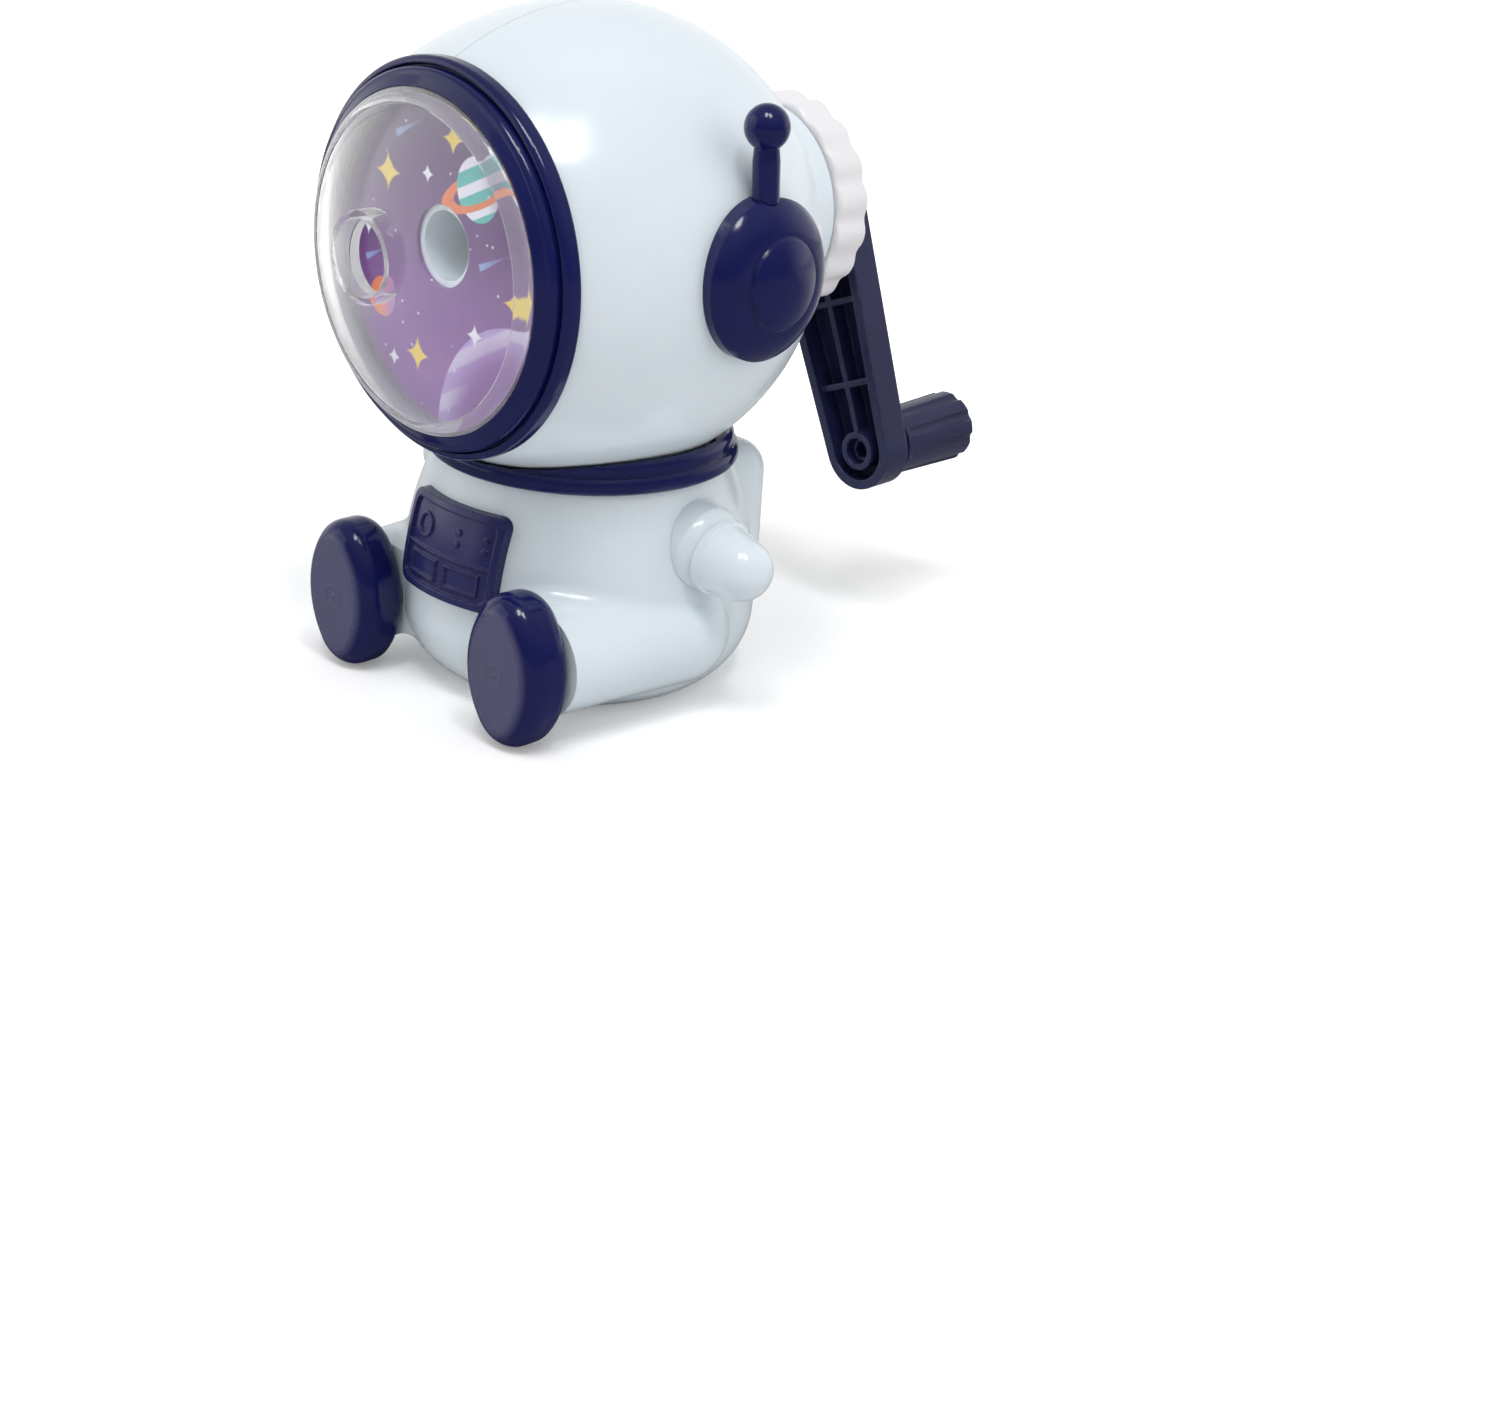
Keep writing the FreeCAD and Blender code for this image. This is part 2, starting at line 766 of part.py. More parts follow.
def arm(side):
    """Stub arm: flared root, cuff ridge and domed end, with a peg into the torso."""
    cuff_end = s.arm_cuff + s.arm_cuff_width
    tip_start = s.arm_reach - s.arm_tip_start
    tip_middle = s.arm_reach - s.arm_tip_radius
    form = turned(f"{side}_arm_form", "x", [
        (-s.torso_wall, 0),
        (-s.torso_wall, s.arm_root_radius),
        (s.torso_wall / 2, s.arm_root_radius),
        (s.arm_cuff - s.arm_cuff_rise, s.arm_radius, bulge(s.arm_root_radius / 2)),
        (s.arm_cuff, s.arm_radius + s.arm_cuff_rise),
        (cuff_end, s.arm_radius + s.arm_cuff_rise),
        (cuff_end + s.arm_cuff_rise, s.arm_radius),
        (tip_start, leg_of(s.arm_tip_radius, tip_start - tip_middle)),
        (s.arm_reach, 0, bulge(s.arm_tip_radius)),
    ])
    peg = arm_peg(side, s.arm_peg, "peg")
    outside = cut(f"{side}_arm_outside", arm_place(form, side), torso_solid)
    return node(fuse(f"{side}_arm", outside, peg), f"{side}_arm")


def foot(side, sign):
    """Oval foot with a flat sole towards the front and a plug into the leg."""
    half, tall = s.foot_width / 2, s.foot_height / 2
    end = s.foot_end_radius
    rise = tall - end
    flank = (half * half + rise * rise - end * end) / (2 * (half - end))
    share = end / (flank - end)
    x, z = (flank - half) * share, rise + rise * share
    body = new_body(f"{side}_foot_form")
    outline = draw(sketch_on(body, f"{side}_foot_outline", "XZ_Plane"), [
        (x, z, bulge(flank)),
        (0, tall, bulge(end)),
        (-x, z, bulge(end)),
        (-half, 0, bulge(flank)),
        (-x, -z, bulge(flank)),
        (0, -tall, bulge(end)),
        (x, -z, bulge(end)),
        (half, 0, bulge(flank)),
    ])
    sole = pad(body, f"{side}_foot_pad", outline, s.foot_thickness, towards_back=False)
    rounded = round_edges(body, f"{side}_sole_edge", sole, -s.foot_thickness, s.foot_round)
    round_edges(body, f"{side}_heel_edge", rounded, dim(0), s.foot_heel_round)
    put(body, sign * s.foot_spread, -s.leg_length, s.foot_height / 2)
    grip = s.foot_heel_round
    plug = turned(f"{side}_foot_plug", "y", [
        (-grip, 0),
        (-grip, s.leg_radius - s.torso_wall - s.press_gap),
        (s.foot_plug, s.leg_radius - s.torso_wall - s.press_gap),
        (s.foot_plug, 0),
    ])
    wide, high = s.foot_stem_width / 2, s.foot_stem_height / 2
    stem = slab(f"{side}_foot_stem", rounded_rectangle(-wide, wide, -high, high, high / 2),
                dim(0), s.foot_stem_length)
    inside = fuse(f"{side}_foot_inside", leg_place(plug, sign), leg_place(stem, sign))
    return node(fuse(f"{side}_foot", body, inside), f"{side}_foot")


def ear_peg(name, radius):
    """Bar through both sides of the helmet where the ear muffs plug in."""
    return cylinder(name, radius, ear_face * 2, -ear_face, s.ear_forward, ear_height, ("y", 90))


def helmet_shells():
    """Both halves of the helmet, cut from one hollow ball with its inner walls and its spigot."""
    wall = s.helmet_wall
    z = axis_height
    reach = s.helmet_radius
    spigot_low = neck_top - s.spigot_depth
    spigot_high = s.helmet_height - s.helmet_radius + 3 * wall
    bore = s.spigot_radius - s.spigot_wall
    gear_outside = gear_outer_radius() + s.press_gap
    hollow_form = helmet_form("helmet_hollow", wall, front + s.front_web)
    walls = fuse(
        "helmet_walls",
        bar_y("front_wall", reach, -s.chamber_front - s.chamber_wall, -s.chamber_front, s.helmet_height),
        bar_y("rear_wall", reach, s.chamber_rear, s.chamber_rear + s.chamber_wall, s.helmet_height),
        bar_y("pencil_guide", s.guide_bore + s.guide_wall, front, -s.chamber_front, z),
        bar_y("gear_seat", gear_outside + s.chamber_wall, gear_front() + s.chamber_wall, s.chamber_rear, z),
    )
    key_bar = cylinder("key_bar", neck_bore - s.move_gap / 2 + s.key_height, s.spigot_depth - 1,
                       0, 0, spigot_low)
    key_limits = box("key_limits", (-reach, reach), (-s.key_width / 2, s.key_width / 2),
                     (spigot_low, neck_top))
    solid = fuse(
        "helmet_solid",
        helmet_outer,
        bar_y("rear_boss", s.boss_radius, dim(0), boss_face, z),
        bar_y("ring_journal", s.journal_radius, boss_face - wall, boss_face + s.journal_length, z),
        cylinder("spigot", s.spigot_radius, spigot_high - spigot_low, 0, 0, spigot_low),
        common("spigot_keys", key_bar, key_limits),
    )
    tongue_seat = turned("tongue_seat", "y", [
        (front - 1, s.tongue_radius - s.tongue_width / 2 - s.run_gap),
        (front - 1, s.tongue_radius + s.tongue_width / 2 + s.run_gap),
        (front + s.tongue_depth + s.run_gap, s.tongue_radius + s.tongue_width / 2 + s.run_gap),
        (front + s.tongue_depth + s.run_gap, s.tongue_radius - s.tongue_width / 2 - s.run_gap),
    ])
    put(tongue_seat, 0, 0, s.helmet_height)
    shell = cut(
        "helmet_shell",
        solid,
        cut("helmet_inside", hollow_form, walls),
        bar_y("boss_room", s.boss_radius - wall, s.chamber_rear + s.chamber_wall, boss_face - wall, z),
        cylinder("neck_opening", bore, reach + spigot_high - spigot_low + wall, 0, 0, spigot_low - reach),
        cut("window", bar_y("window_bar", s.window_radius, front - 1, front + s.front_web, s.helmet_height),
            bar_y("window_guide", s.guide_bore + s.guide_wall, front - 1, front + s.front_web, z)),
        bar_y("guide_hole", s.guide_bore, front - 1, -s.chamber_front, z),
        bar_y("gear_room", gear_outside, gear_front(), s.chamber_rear, z),
        bar_y("shaft_bearing", s.shaft_radius + s.run_gap, s.chamber_rear, boss_face + s.journal_length, z),
        ear_peg("ear_holes", s.ear_peg + s.press_gap),
        tongue_seat,
    )
    seam = s.parting_gap / 2
    limits = ((-reach * 2, reach * 2), (spigot_low - 1, s.helmet_height + reach * 2))
    left = common("helmet_left", shell, box("left_limits", (seam, reach * 2), *limits))
    right = common("helmet_right", shell, box("right_limits", (-reach * 2, -seam), *limits))
    return node(left, "helmet_left_shell"), node(right, "helmet_right_shell")


def visor_bezel():
    """Stepped ring round the window, with a tongue into the helmet's front edge."""
    small = s.bezel_round
    inner_band = s.bezel_radius - s.bezel_groove
    counterbore = s.dome_radius + s.dome_flange + s.run_gap
    bore = s.dome_radius + s.run_gap
    flange_front = s.card_thickness + s.dome_wall
    tongue_low = s.tongue_radius - s.tongue_width / 2
    tongue_high = s.tongue_radius + s.tongue_width / 2
    bezel = turned("visor_bezel", "y", [
        (front, counterbore),
        (front, tongue_low),
        (front + s.tongue_depth, tongue_low),
        (front + s.tongue_depth, tongue_high),
        (front, tongue_high),
        (front, s.bezel_radius),
        (front - s.bezel_band + small, s.bezel_radius),
        (front - s.bezel_band, s.bezel_radius - small, bulge(small)),
        (front - s.bezel_band + s.bezel_groove / 2, inner_band),
        (front - s.bezel_depth + 2 * small, inner_band),
        (front - s.bezel_depth + small, inner_band - small, bulge(small)),
        (front - s.bezel_depth, bore),
        (front - flange_front, bore),
        (front - flange_front, counterbore),
    ])
    return node(put(bezel, 0, 0, s.helmet_height), "visor_bezel")


def visor_dome():
    """Clear window: flanged rim, low dome and the ring that guides the pencil."""
    rim = front - s.bezel_depth
    ball = crown(s.dome_rise, s.dome_radius)
    inner_ball = ball - s.dome_wall
    inner_rim = s.dome_radius - s.dome_wall
    apex = rim - s.dome_rise
    centre = apex + ball
    flange_front = front - s.card_thickness - s.dome_wall
    shell = turned("dome_shell", "y", [
        (front - s.card_thickness, inner_rim),
        (front - s.card_thickness, s.dome_radius + s.dome_flange),
        (flange_front, s.dome_radius + s.dome_flange),
        (flange_front, s.dome_radius),
        (rim, s.dome_radius),
        (apex, 0, bulge(ball)),
        (apex + s.dome_wall, 0),
        (centre - leg_of(inner_ball, inner_rim), inner_rim, hollow(inner_ball)),
    ])
    put(shell, 0, 0, s.helmet_height)
    tip = apex - s.guide_ring_length
    ring = bar_y("guide_ring", s.guide_ring_radius, tip, apex + s.dome_wall, axis_height)
    hole = bar_y("guide_ring_hole", s.guide_ring_bore, tip - 1, apex + 3 * s.dome_wall, axis_height)
    return node(cut("visor_dome", fuse("dome_solid", shell, ring), hole), "visor_dome")


def visor_card():
    """Printed disc behind the window, with a hole for the pencil."""
    disc = bar_y("card_disc", s.dome_radius + s.dome_flange, front - s.card_thickness, front, s.helmet_height)
    hole = bar_y("card_opening", s.card_hole, front - s.card_thickness - 1, front + 1, axis_height)
    return node(cut("visor_card", disc, hole), "visor_card")


def ear_form(side):
    """Domed cap of an ear muff before it is cut to the helmet."""
    form = turned(f"{side}_ear_form", "x", [
        (s.helmet_radius - s.ear_radius / 2, 0),
        (s.helmet_radius - s.ear_radius / 2, s.ear_radius),
        (ear_edge, s.ear_radius),
        (ear_face, s.ear_cap_radius + s.ear_cap_step, bulge(s.ear_round)),
        (ear_face + s.ear_cap_step, s.ear_cap_radius, hollow(s.ear_cap_step)),
        (ear_face + s.ear_cap_step + s.ear_cap_rise, 0, bulge(crown(s.ear_cap_rise, s.ear_cap_radius))),
    ])
    turn = [] if side == "left" else [("z", 180)]
    return put(form, 0, s.ear_forward, ear_height, *turn)


def ear_muff(side, *holes):
    """Ear muff seated on the ball of the helmet, with a peg through its wall."""
    cap = cut(f"{side}_ear_cap", ear_form(side), helmet_outer, *holes)
    inside = s.helmet_radius - 2 * s.helmet_wall
    length = ear_edge - inside
    start = inside if side == "left" else -ear_edge
    peg = cylinder(f"{side}_ear_peg", s.ear_peg, length, start, s.ear_forward, ear_height, ("y", 90))
    return node(fuse(f"{side}_ear_muff", cap, peg), f"{side}_ear_muff")


def antenna_place(thing):
    """Stand a piece on the middle of the left ear muff, leaning towards the front."""
    return put(thing, ear_face - s.antenna_reach, s.ear_forward, ear_height, ("x", s.antenna_lean))


def antenna_peg(name, radius, length):
    """Peg of the antenna, or the hole for it in the ear muff."""
    start = s.ear_radius - 2 * s.antenna_peg
    peg = turned(name, "z", [(start, 0), (start, radius), (start + length, radius), (start + length, 0)])
    return antenna_place(peg)


def antenna():
    """Stem with a ball, plugged into the top of the left ear muff."""
    ball = s.antenna_height
    neck = ball - leg_of(s.antenna_ball, s.antenna_neck)
    low = s.ear_radius * 0.95
    stem = antenna_place(turned("antenna_stem_form", "z", [
        (low, 0),
        (low, s.antenna_stem),
        (neck - s.antenna_stem, s.antenna_stem),
        (neck, s.antenna_neck),
        (ball + s.antenna_ball, 0, bulge(s.antenna_ball)),
    ]))
    peg = antenna_peg("antenna_peg_form", s.antenna_peg, 3 * s.antenna_peg)
    ear_muff("left", antenna_peg("antenna_hole", s.antenna_peg + s.press_gap, 4 * s.antenna_peg))
    pieces = fuse("antenna_pieces", cut("antenna_outside", stem, ear_form("left")), peg)
    return node(cut("antenna", pieces, helmet_outer), "antenna")


def pinion_middle():
    """Distance along the cutter's axle from the pencil's point to the middle of the pinion."""
    return s.pinion_width / 2


def gear_distance():
    """Distance of the pinion's middle from the pencil axis."""
    return s.cutter_radius / cosine(s.point_angle) - pinion_middle() * sine(s.point_angle)


def gear_module():
    """Pitch diameter per tooth that lets the pinion roll inside the ring gear."""
    return 2 * gear_distance() / (s.gear_teeth - s.pinion_teeth)


def gear_pitch_radius():
    return gear_module() * s.gear_teeth / 2


def gear_outer_radius():
    return gear_pitch_radius() + s.tooth_clearance + s.gear_wall


def tooth_gap(sketch, pitch, top, bottom, teeth, turn):
    """Draw the trapezoid gap between two teeth, centred at a share of a turn from straight down."""
    middle = 360 / teeth * turn
    half_gap = (math.pi * pitch / teeth + s.tooth_backlash) / 2
    corners = []
    for radius, side in ((top, -1), (bottom, -1), (bottom, 1), (top, 1)):
        depth = radius - pitch if top.value > bottom.value else pitch - radius
        half = side * (half_gap + depth * tangent(s.pressure_angle))
        across = half * cosine(middle) + radius * sine(middle)
        down = half * sine(middle) - radius * cosine(middle)
        corners.append((across, down))
    return draw(sketch, corners)


def gear_front():
    """Where the ring gear starts, behind the rim of the leaning cutter."""
    return s.point_place + s.cutter_radius * sine(s.point_angle) + s.move_gap


def ring_gear():
    """Fixed internal gear, long enough to clear the carrier's tail."""
    body = new_body("ring_gear")
    pitch = gear_pitch_radius()
    outer = gear_outer_radius()
    tip = pitch - s.tooth_height
    disc = draw_circle(sketch_on(body, "gear_rim", "XZ_Plane"), 0, 0, outer)
    draw_circle(lift(disc, gear_front()), 0, 0, tip)
    pad(body, "gear_pad", disc, s.chamber_rear - gear_front())
    gap = lift(sketch_on(body, "gear_gap", "XZ_Plane"), gear_front())
    tooth_gap(gap, pitch, tip - s.tooth_height, pitch + s.tooth_clearance, s.gear_teeth, dim(0))
    pocket = pad(body, "gear_pocket", gap, s.chamber_rear - gear_front(), "PartDesign::Pocket")
    repeat(body, "gear_gaps", pocket, s.gear_teeth)
    return node(put(body, 0, 0, axis_height), "ring_gear")


def lean(thing):
    """Put a piece modelled along Y on the cutter's axle, its origin level with the pencil's point."""
    return put(thing, 0, s.point_place, axis_height - s.cutter_radius / cosine(s.point_angle),
               ("x", s.point_angle))


def cutter_pinion():
    """Small gear at the end of the cutter."""
    body = new_body("cutter_pinion")
    pitch = gear_module() * s.pinion_teeth / 2
    disc = draw_circle(sketch_on(body, "pinion_rim", "XZ_Plane"), 0, 0, pitch + s.tooth_height)
    draw_circle(disc, 0, 0, s.axle_radius + s.run_gap)
    pad(body, "pinion_pad", disc, s.pinion_width)
    gap = sketch_on(body, "pinion_gap", "XZ_Plane")
    tooth_gap(gap, pitch, pitch + 2 * s.tooth_height, pitch - s.tooth_clearance, s.pinion_teeth, dim(0.5))
    pocket = pad(body, "pinion_pocket", gap, s.pinion_width, "PartDesign::Pocket")
    repeat(body, "pinion_gaps", pocket, s.pinion_teeth)
    return node(lean(body), "cutter_pinion")


def helical_cutter():
    """Cutter with helical saw teeth: a toothed section carried along the axle as it twists."""
    teeth = int(s.cutter_teeth.value)
    tip = s.cutter_radius.value
    valley = tip - s.cutter_tooth_depth.value
    length = s.cutter_length.value
    steps = 6
    sections = []
    for step in range(steps + 1):
        y = -length + length * step / steps
        twist = math.radians(s.cutter_twist.value) * step / steps
        ring = []
        for tooth in range(teeth):
            for radius, share in ((tip, 0.0), (tip, 0.18), (valley, 0.62)):
                angle = twist + 2 * math.pi * (tooth + share) / teeth
                ring.append(Vector(radius * math.sin(angle), y, radius * math.cos(angle)))
        sections.append(Part.makePolygon(ring + ring[:1]))
    bore = s.axle_radius.value + s.run_gap.value
    hole = Part.makeCylinder(bore, length, Vector(0, -length, 0), Vector(0, 1, 0))
    cutter = doc.addObject("Part::Feature", "helical_cutter")
    cutter.Shape = Part.makeLoft(sections, True, True).cut(hole)
    return node(lean(cutter), "helical_cutter")


def axle_bar(name, radius):
    """Round bar along the cutter's axle, from the front disc of the carrier into its tail."""
    front_end = -s.cutter_length - s.carrier_disc
    rear_end = s.pinion_width + s.carrier_disc
    bar = turned(name, "y", [(front_end, 0), (front_end, radius), (rear_end, radius), (rear_end, 0)])
    return lean(bar)


def cutter_carrier():
    """Rotor: front disc, tapered body with the pencil's cone, and a tail on the shaft."""
    start = -s.chamber_front + s.move_gap
    disc_end = start + s.carrier_disc
    tail_end = s.chamber_rear - s.move_gap
    cone_end = s.point_place - s.carrier_disc / 2
    body = turned("carrier_form", "y", [
        (start, 0),
        (start, s.carrier_disc_radius),
        (disc_end, s.carrier_disc_radius),
        (disc_end, s.carrier_radius),
        (s.carrier_tail_start, s.carrier_tail),
        (tail_end, s.carrier_tail),
        (tail_end, 0),
    ])
    put(body, 0, 0, axis_height)
    cone_start = s.point_place - s.pencil_bore / tangent(s.point_angle)
    bore = turned("pencil_cone", "y", [
        (start - 1, 0),
        (start - 1, s.pencil_bore),
        (cone_start, s.pencil_bore),
        (cone_end, (s.point_place - cone_end) * tangent(s.point_angle)),
        (cone_end, 0),
    ])
    put(bore, 0, 0, axis_height)
    room = max((s.cutter_radius, gear_module() * s.pinion_teeth / 2 + s.tooth_height), key=lambda d: d.value)
    pocket = turned("cutter_room", "y", [
        (-s.cutter_length - s.move_gap, 0),
        (-s.cutter_length - s.move_gap, room + s.move_gap),
        (s.pinion_width + s.move_gap, room + s.move_gap),
        (s.pinion_width + s.move_gap, 0),
    ])
    axle_hole = axle_bar("axle_hole", s.axle_radius + s.press_gap)
    shaft_hole = bar_y("carrier_shaft_hole", s.shaft_radius + s.press_gap, shaft_start(), s.chamber_rear,
                       axis_height)
    return node(cut("cutter_carrier", body, bore, lean(pocket), axle_hole, shaft_hole), "cutter_carrier")


def shaft_start():
    """Where the shaft ends inside the carrier's tail."""
    return s.chamber_rear - s.carrier_disc - s.move_gap


def crank_plane():
    """Depth of the crank arm's open side at the shaft."""
    return boss_face + s.crank_offset


def drive_shaft():
    """Steel shaft from the carrier's tail to the crank's hub, with a tapped end."""
    end = crank_plane() + s.crank_thickness - s.crank_floor
    shaft = turned("drive_shaft", "y", [
        (shaft_start(), 0),
        (shaft_start(), s.shaft_radius),
        (end, s.shaft_radius),
        (end, s.screw_radius + s.press_gap),
        (end - s.screw_length, s.screw_radius + s.press_gap),
        (end - s.screw_length, 0),
    ])
    return node(put(shaft, 0, 0, axis_height), "drive_shaft")


def crank_screw():
    """Pan-head screw that clamps the arm to the shaft."""
    seat = crank_plane() + s.crank_thickness
    end = seat - s.crank_floor - s.screw_length + s.move_gap
    screw = turned("crank_screw", "y", [
        (end, 0),
        (end, s.screw_radius),
        (seat, s.screw_radius),
        (seat, s.screw_head),
        (seat + s.screw_head_height / 2, s.screw_head),
        (seat + s.screw_head_height, s.screw_head / 2),
        (seat + s.screw_head_height, 0),
    ])
    return node(put(screw, 0, 0, axis_height), "crank_screw")


def crank_frame(thing, along=0):
    """Put a piece in the crank arm's leaning frame, its origin on the arm at a distance from the shaft."""
    along = dim(along)
    flat = along * cosine(s.crank_lean)
    return put(thing, flat * sine(s.crank_angle), crank_plane() + along * sine(s.crank_lean),
               axis_height - flat * cosine(s.crank_angle), ("y", -s.crank_angle), ("x", s.crank_lean))


def arm_outline(inset):
    """Outline of the crank arm, with a large end at the hub and a small one at the knob."""
    big, small = s.crank_hub_radius - inset, s.crank_end_radius - inset
    lean_in = (s.crank_hub_radius - s.crank_end_radius) / s.crank_length
    wide = leg_of(dim(1), lean_in)
    return [
        (big * wide, -(big * lean_in)),
        (0, big, bulge(big)),
        (-(big * wide), -(big * lean_in), bulge(big)),
        (-(small * wide), -s.crank_length - small * lean_in),
        (0, -s.crank_length - small, bulge(small)),
        (small * wide, -s.crank_length - small * lean_in, bulge(small)),
    ]


def crank_arm():
    """Channel-shaped arm, open towards the figure, with ribs, a knob boss and a hub boss."""
    body = new_body("crank_channel")
    thick = s.crank_thickness
    deep = thick - s.crank_floor
    pad(body, "arm_pad", draw(sketch_on(body, "arm_outer", "XZ_Plane"), arm_outline(dim(0))), thick)
    channel = draw(sketch_on(body, "arm_inner", "XZ_Plane"), arm_outline(s.crank_wall))
    pad(body, "arm_channel", channel, deep, "PartDesign::Pocket")
    half = s.crank_rib / 2
    ribs = [(-half, half, -s.crank_length, dim(0))]
    for share in (0.42, 0.74):
        level = -s.crank_length * share
        reach = s.crank_hub_radius - (s.crank_hub_radius - s.crank_end_radius) * share - s.crank_wall / 2
        ribs.append((-reach, reach, level - half, level + half))
    for i, (left, right, low, high) in enumerate(ribs):
        rib = sketch_on(body, f"arm_rib_{i}", "XZ_Plane")
        draw(lift(rib, s.crank_rib), [(left, low), (right, low), (right, high), (left, high)])
        pad(body, f"arm_rib_pad_{i}", rib, thick - s.crank_rib)
    boss = sketch_on(body, "knob_boss", "XZ_Plane")
    draw_circle(boss, 0, -s.crank_length, s.crank_boss)
    pad(body, "knob_boss_pad", boss, thick)
    crank_frame(body)
    back = crank_plane() + thick
    hub = bar_y("hub_boss", s.crank_hub_boss, crank_plane() - s.crank_wall / 2, back, axis_height)
    bore = bar_y("hub_bore", s.shaft_radius + s.press_gap, crank_plane() - 2, back - s.crank_floor, axis_height)
    screw_hole = bar_y("hub_screw_hole", s.screw_radius + s.press_gap, crank_plane(), back + 3, axis_height)
    seat = bar_y("screw_seat", s.screw_head + s.move_gap, back, back + 4, axis_height)
    pin_hole = pin_form("pin_hole", s.press_gap)
    arm_solid = fuse("crank_solid", body, hub)
    return node(cut("crank_arm", arm_solid, bore, screw_hole, seat, pin_hole), "crank_arm")


def pin_form(name, gap):
    """The knob's pin, or the stepped hole for it in the arm."""
    head_end = s.crank_thickness / 2
    tip = s.crank_thickness + s.knob_neck + s.knob_length * 0.8
    start = s.crank_rib + s.move_gap if gap.value == 0 else dim(-1)
    pin = turned(name, "y", [
        (start, 0),
        (start, s.pin_head + gap),
        (head_end, s.pin_head + gap),
        (head_end, s.pin_radius + gap),
        (tip, s.pin_radius + gap),
        (tip, 0),
    ])
    return crank_frame(pin, s.crank_length)


def crank_knob():
    """Fluted knob with a short neck, bored for its pin."""
    start = s.crank_thickness + s.move_gap / 2
    neck_end = s.crank_thickness + s.knob_neck
    end = neck_end + s.knob_length
    bore = s.pin_radius + s.run_gap
    depth = neck_end + s.knob_length * 0.8 + s.move_gap
    body = turned("crank_knob", "y", [
        (start, bore),
        (start, s.knob_radius - s.knob_neck / 2),
        (neck_end, s.knob_radius - s.knob_neck / 2),
        (neck_end, s.knob_radius),
        (end - s.knob_neck / 2, s.knob_end_radius),
        (end, s.knob_end_radius - s.knob_neck / 2, bulge(s.knob_neck / 2)),
        (end, 0),
        (depth, 0),
        (depth, bore),
    ])
    flute = lift(sketch_on(body, "flute", "XZ_Plane"), neck_end + s.knob_neck / 2)
    draw_circle(flute, 0, s.knob_end_radius + s.knob_flute_radius / 3, s.knob_flute_radius)
    groove = pad(body, "flute_cut", flute, s.knob_length, "PartDesign::Pocket")
    repeat(body, "flutes", groove, s.knob_flutes)
    return node(crank_frame(body, s.crank_length), "crank_knob")


def lock_ring():
    """Ring with a lobed rim that turns on the journal behind the helmet."""
    start = boss_face + s.move_gap
    end = start + s.ring_width
    room = boss_face + s.journal_length + s.move_gap
    bore = s.journal_radius + s.run_gap
    hub = s.ring_radius - s.ring_scallop_depth
    body = turned("lock_ring", "y", [
        (start, bore),
        (start, hub - s.ring_edge),
        (start + s.ring_edge, hub),
        (end - s.ring_edge, hub),
        (end, hub - s.ring_edge),
        (end, s.ring_hole),
        (room, s.ring_hole),
        (room, bore),
    ])
    scallop = lift(sketch_on(body, "scallop", "XZ_Plane"), start + s.ring_edge)
    draw_circle(scallop, 0, s.ring_radius - s.ring_scallop_radius, s.ring_scallop_radius)
    lobe = pad(body, "scallop_pad", scallop, s.ring_width - 2 * s.ring_edge)
    repeat(body, "scallops", lobe, s.ring_scallops)
    return node(put(body, 0, 0, axis_height), "lock_ring")


def check():
    """Stop if any object failed or any sub-part is not a sound solid."""
    failed = [item.Name for item in doc.Objects if {"Invalid", "Error"} & set(item.State)]
    unsound = [item.Label for item in NODES if item.Shape.isNull() or not item.Shape.isValid()]
    if failed or unsound:
        raise RuntimeError(f"failed objects {failed}, unsound sub-parts {unsound}")


torso_shell()
base_plate()
neck_collar()
chest_panel()
arm("left")
arm("right")
foot("left", 1)
foot("right", -1)
helmet_shells()
visor_bezel()
visor_dome()
visor_card()
antenna()
ear_muff("right")
ring_gear()
lock_ring()
drive_shaft()
crank_screw()
crank_arm()
node(pin_form("knob_pin", dim(0)), "knob_pin")
crank_knob()
cutter_carrier()
node(axle_bar("cutter_axle", s.axle_radius), "cutter_axle")
helical_cutter()
cutter_pinion()

doc.recompute()
check()
os.makedirs("parts", exist_ok=True)
for item in NODES:
    item.Shape.exportStep(f"parts/{item.Label}.step")
    print(item.Label, len(item.Shape.Solids), round(item.Shape.Volume, 1))
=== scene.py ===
"""Dress, light and frame the crank pencil sharpener.

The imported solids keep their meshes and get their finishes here.  Small moulded details ride on the
solids' bodies, and a plain studio stands round the object.  Lengths are in metres unless a name or
a docstring says millimetres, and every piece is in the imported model's own frame.
"""
from __future__ import annotations

import json
import logging
import math
from dataclasses import dataclass, replace
from enum import Enum
from functools import cached_property
from typing import Any, Sequence, Union

import bmesh
import bpy
from mathutils import Matrix, Vector

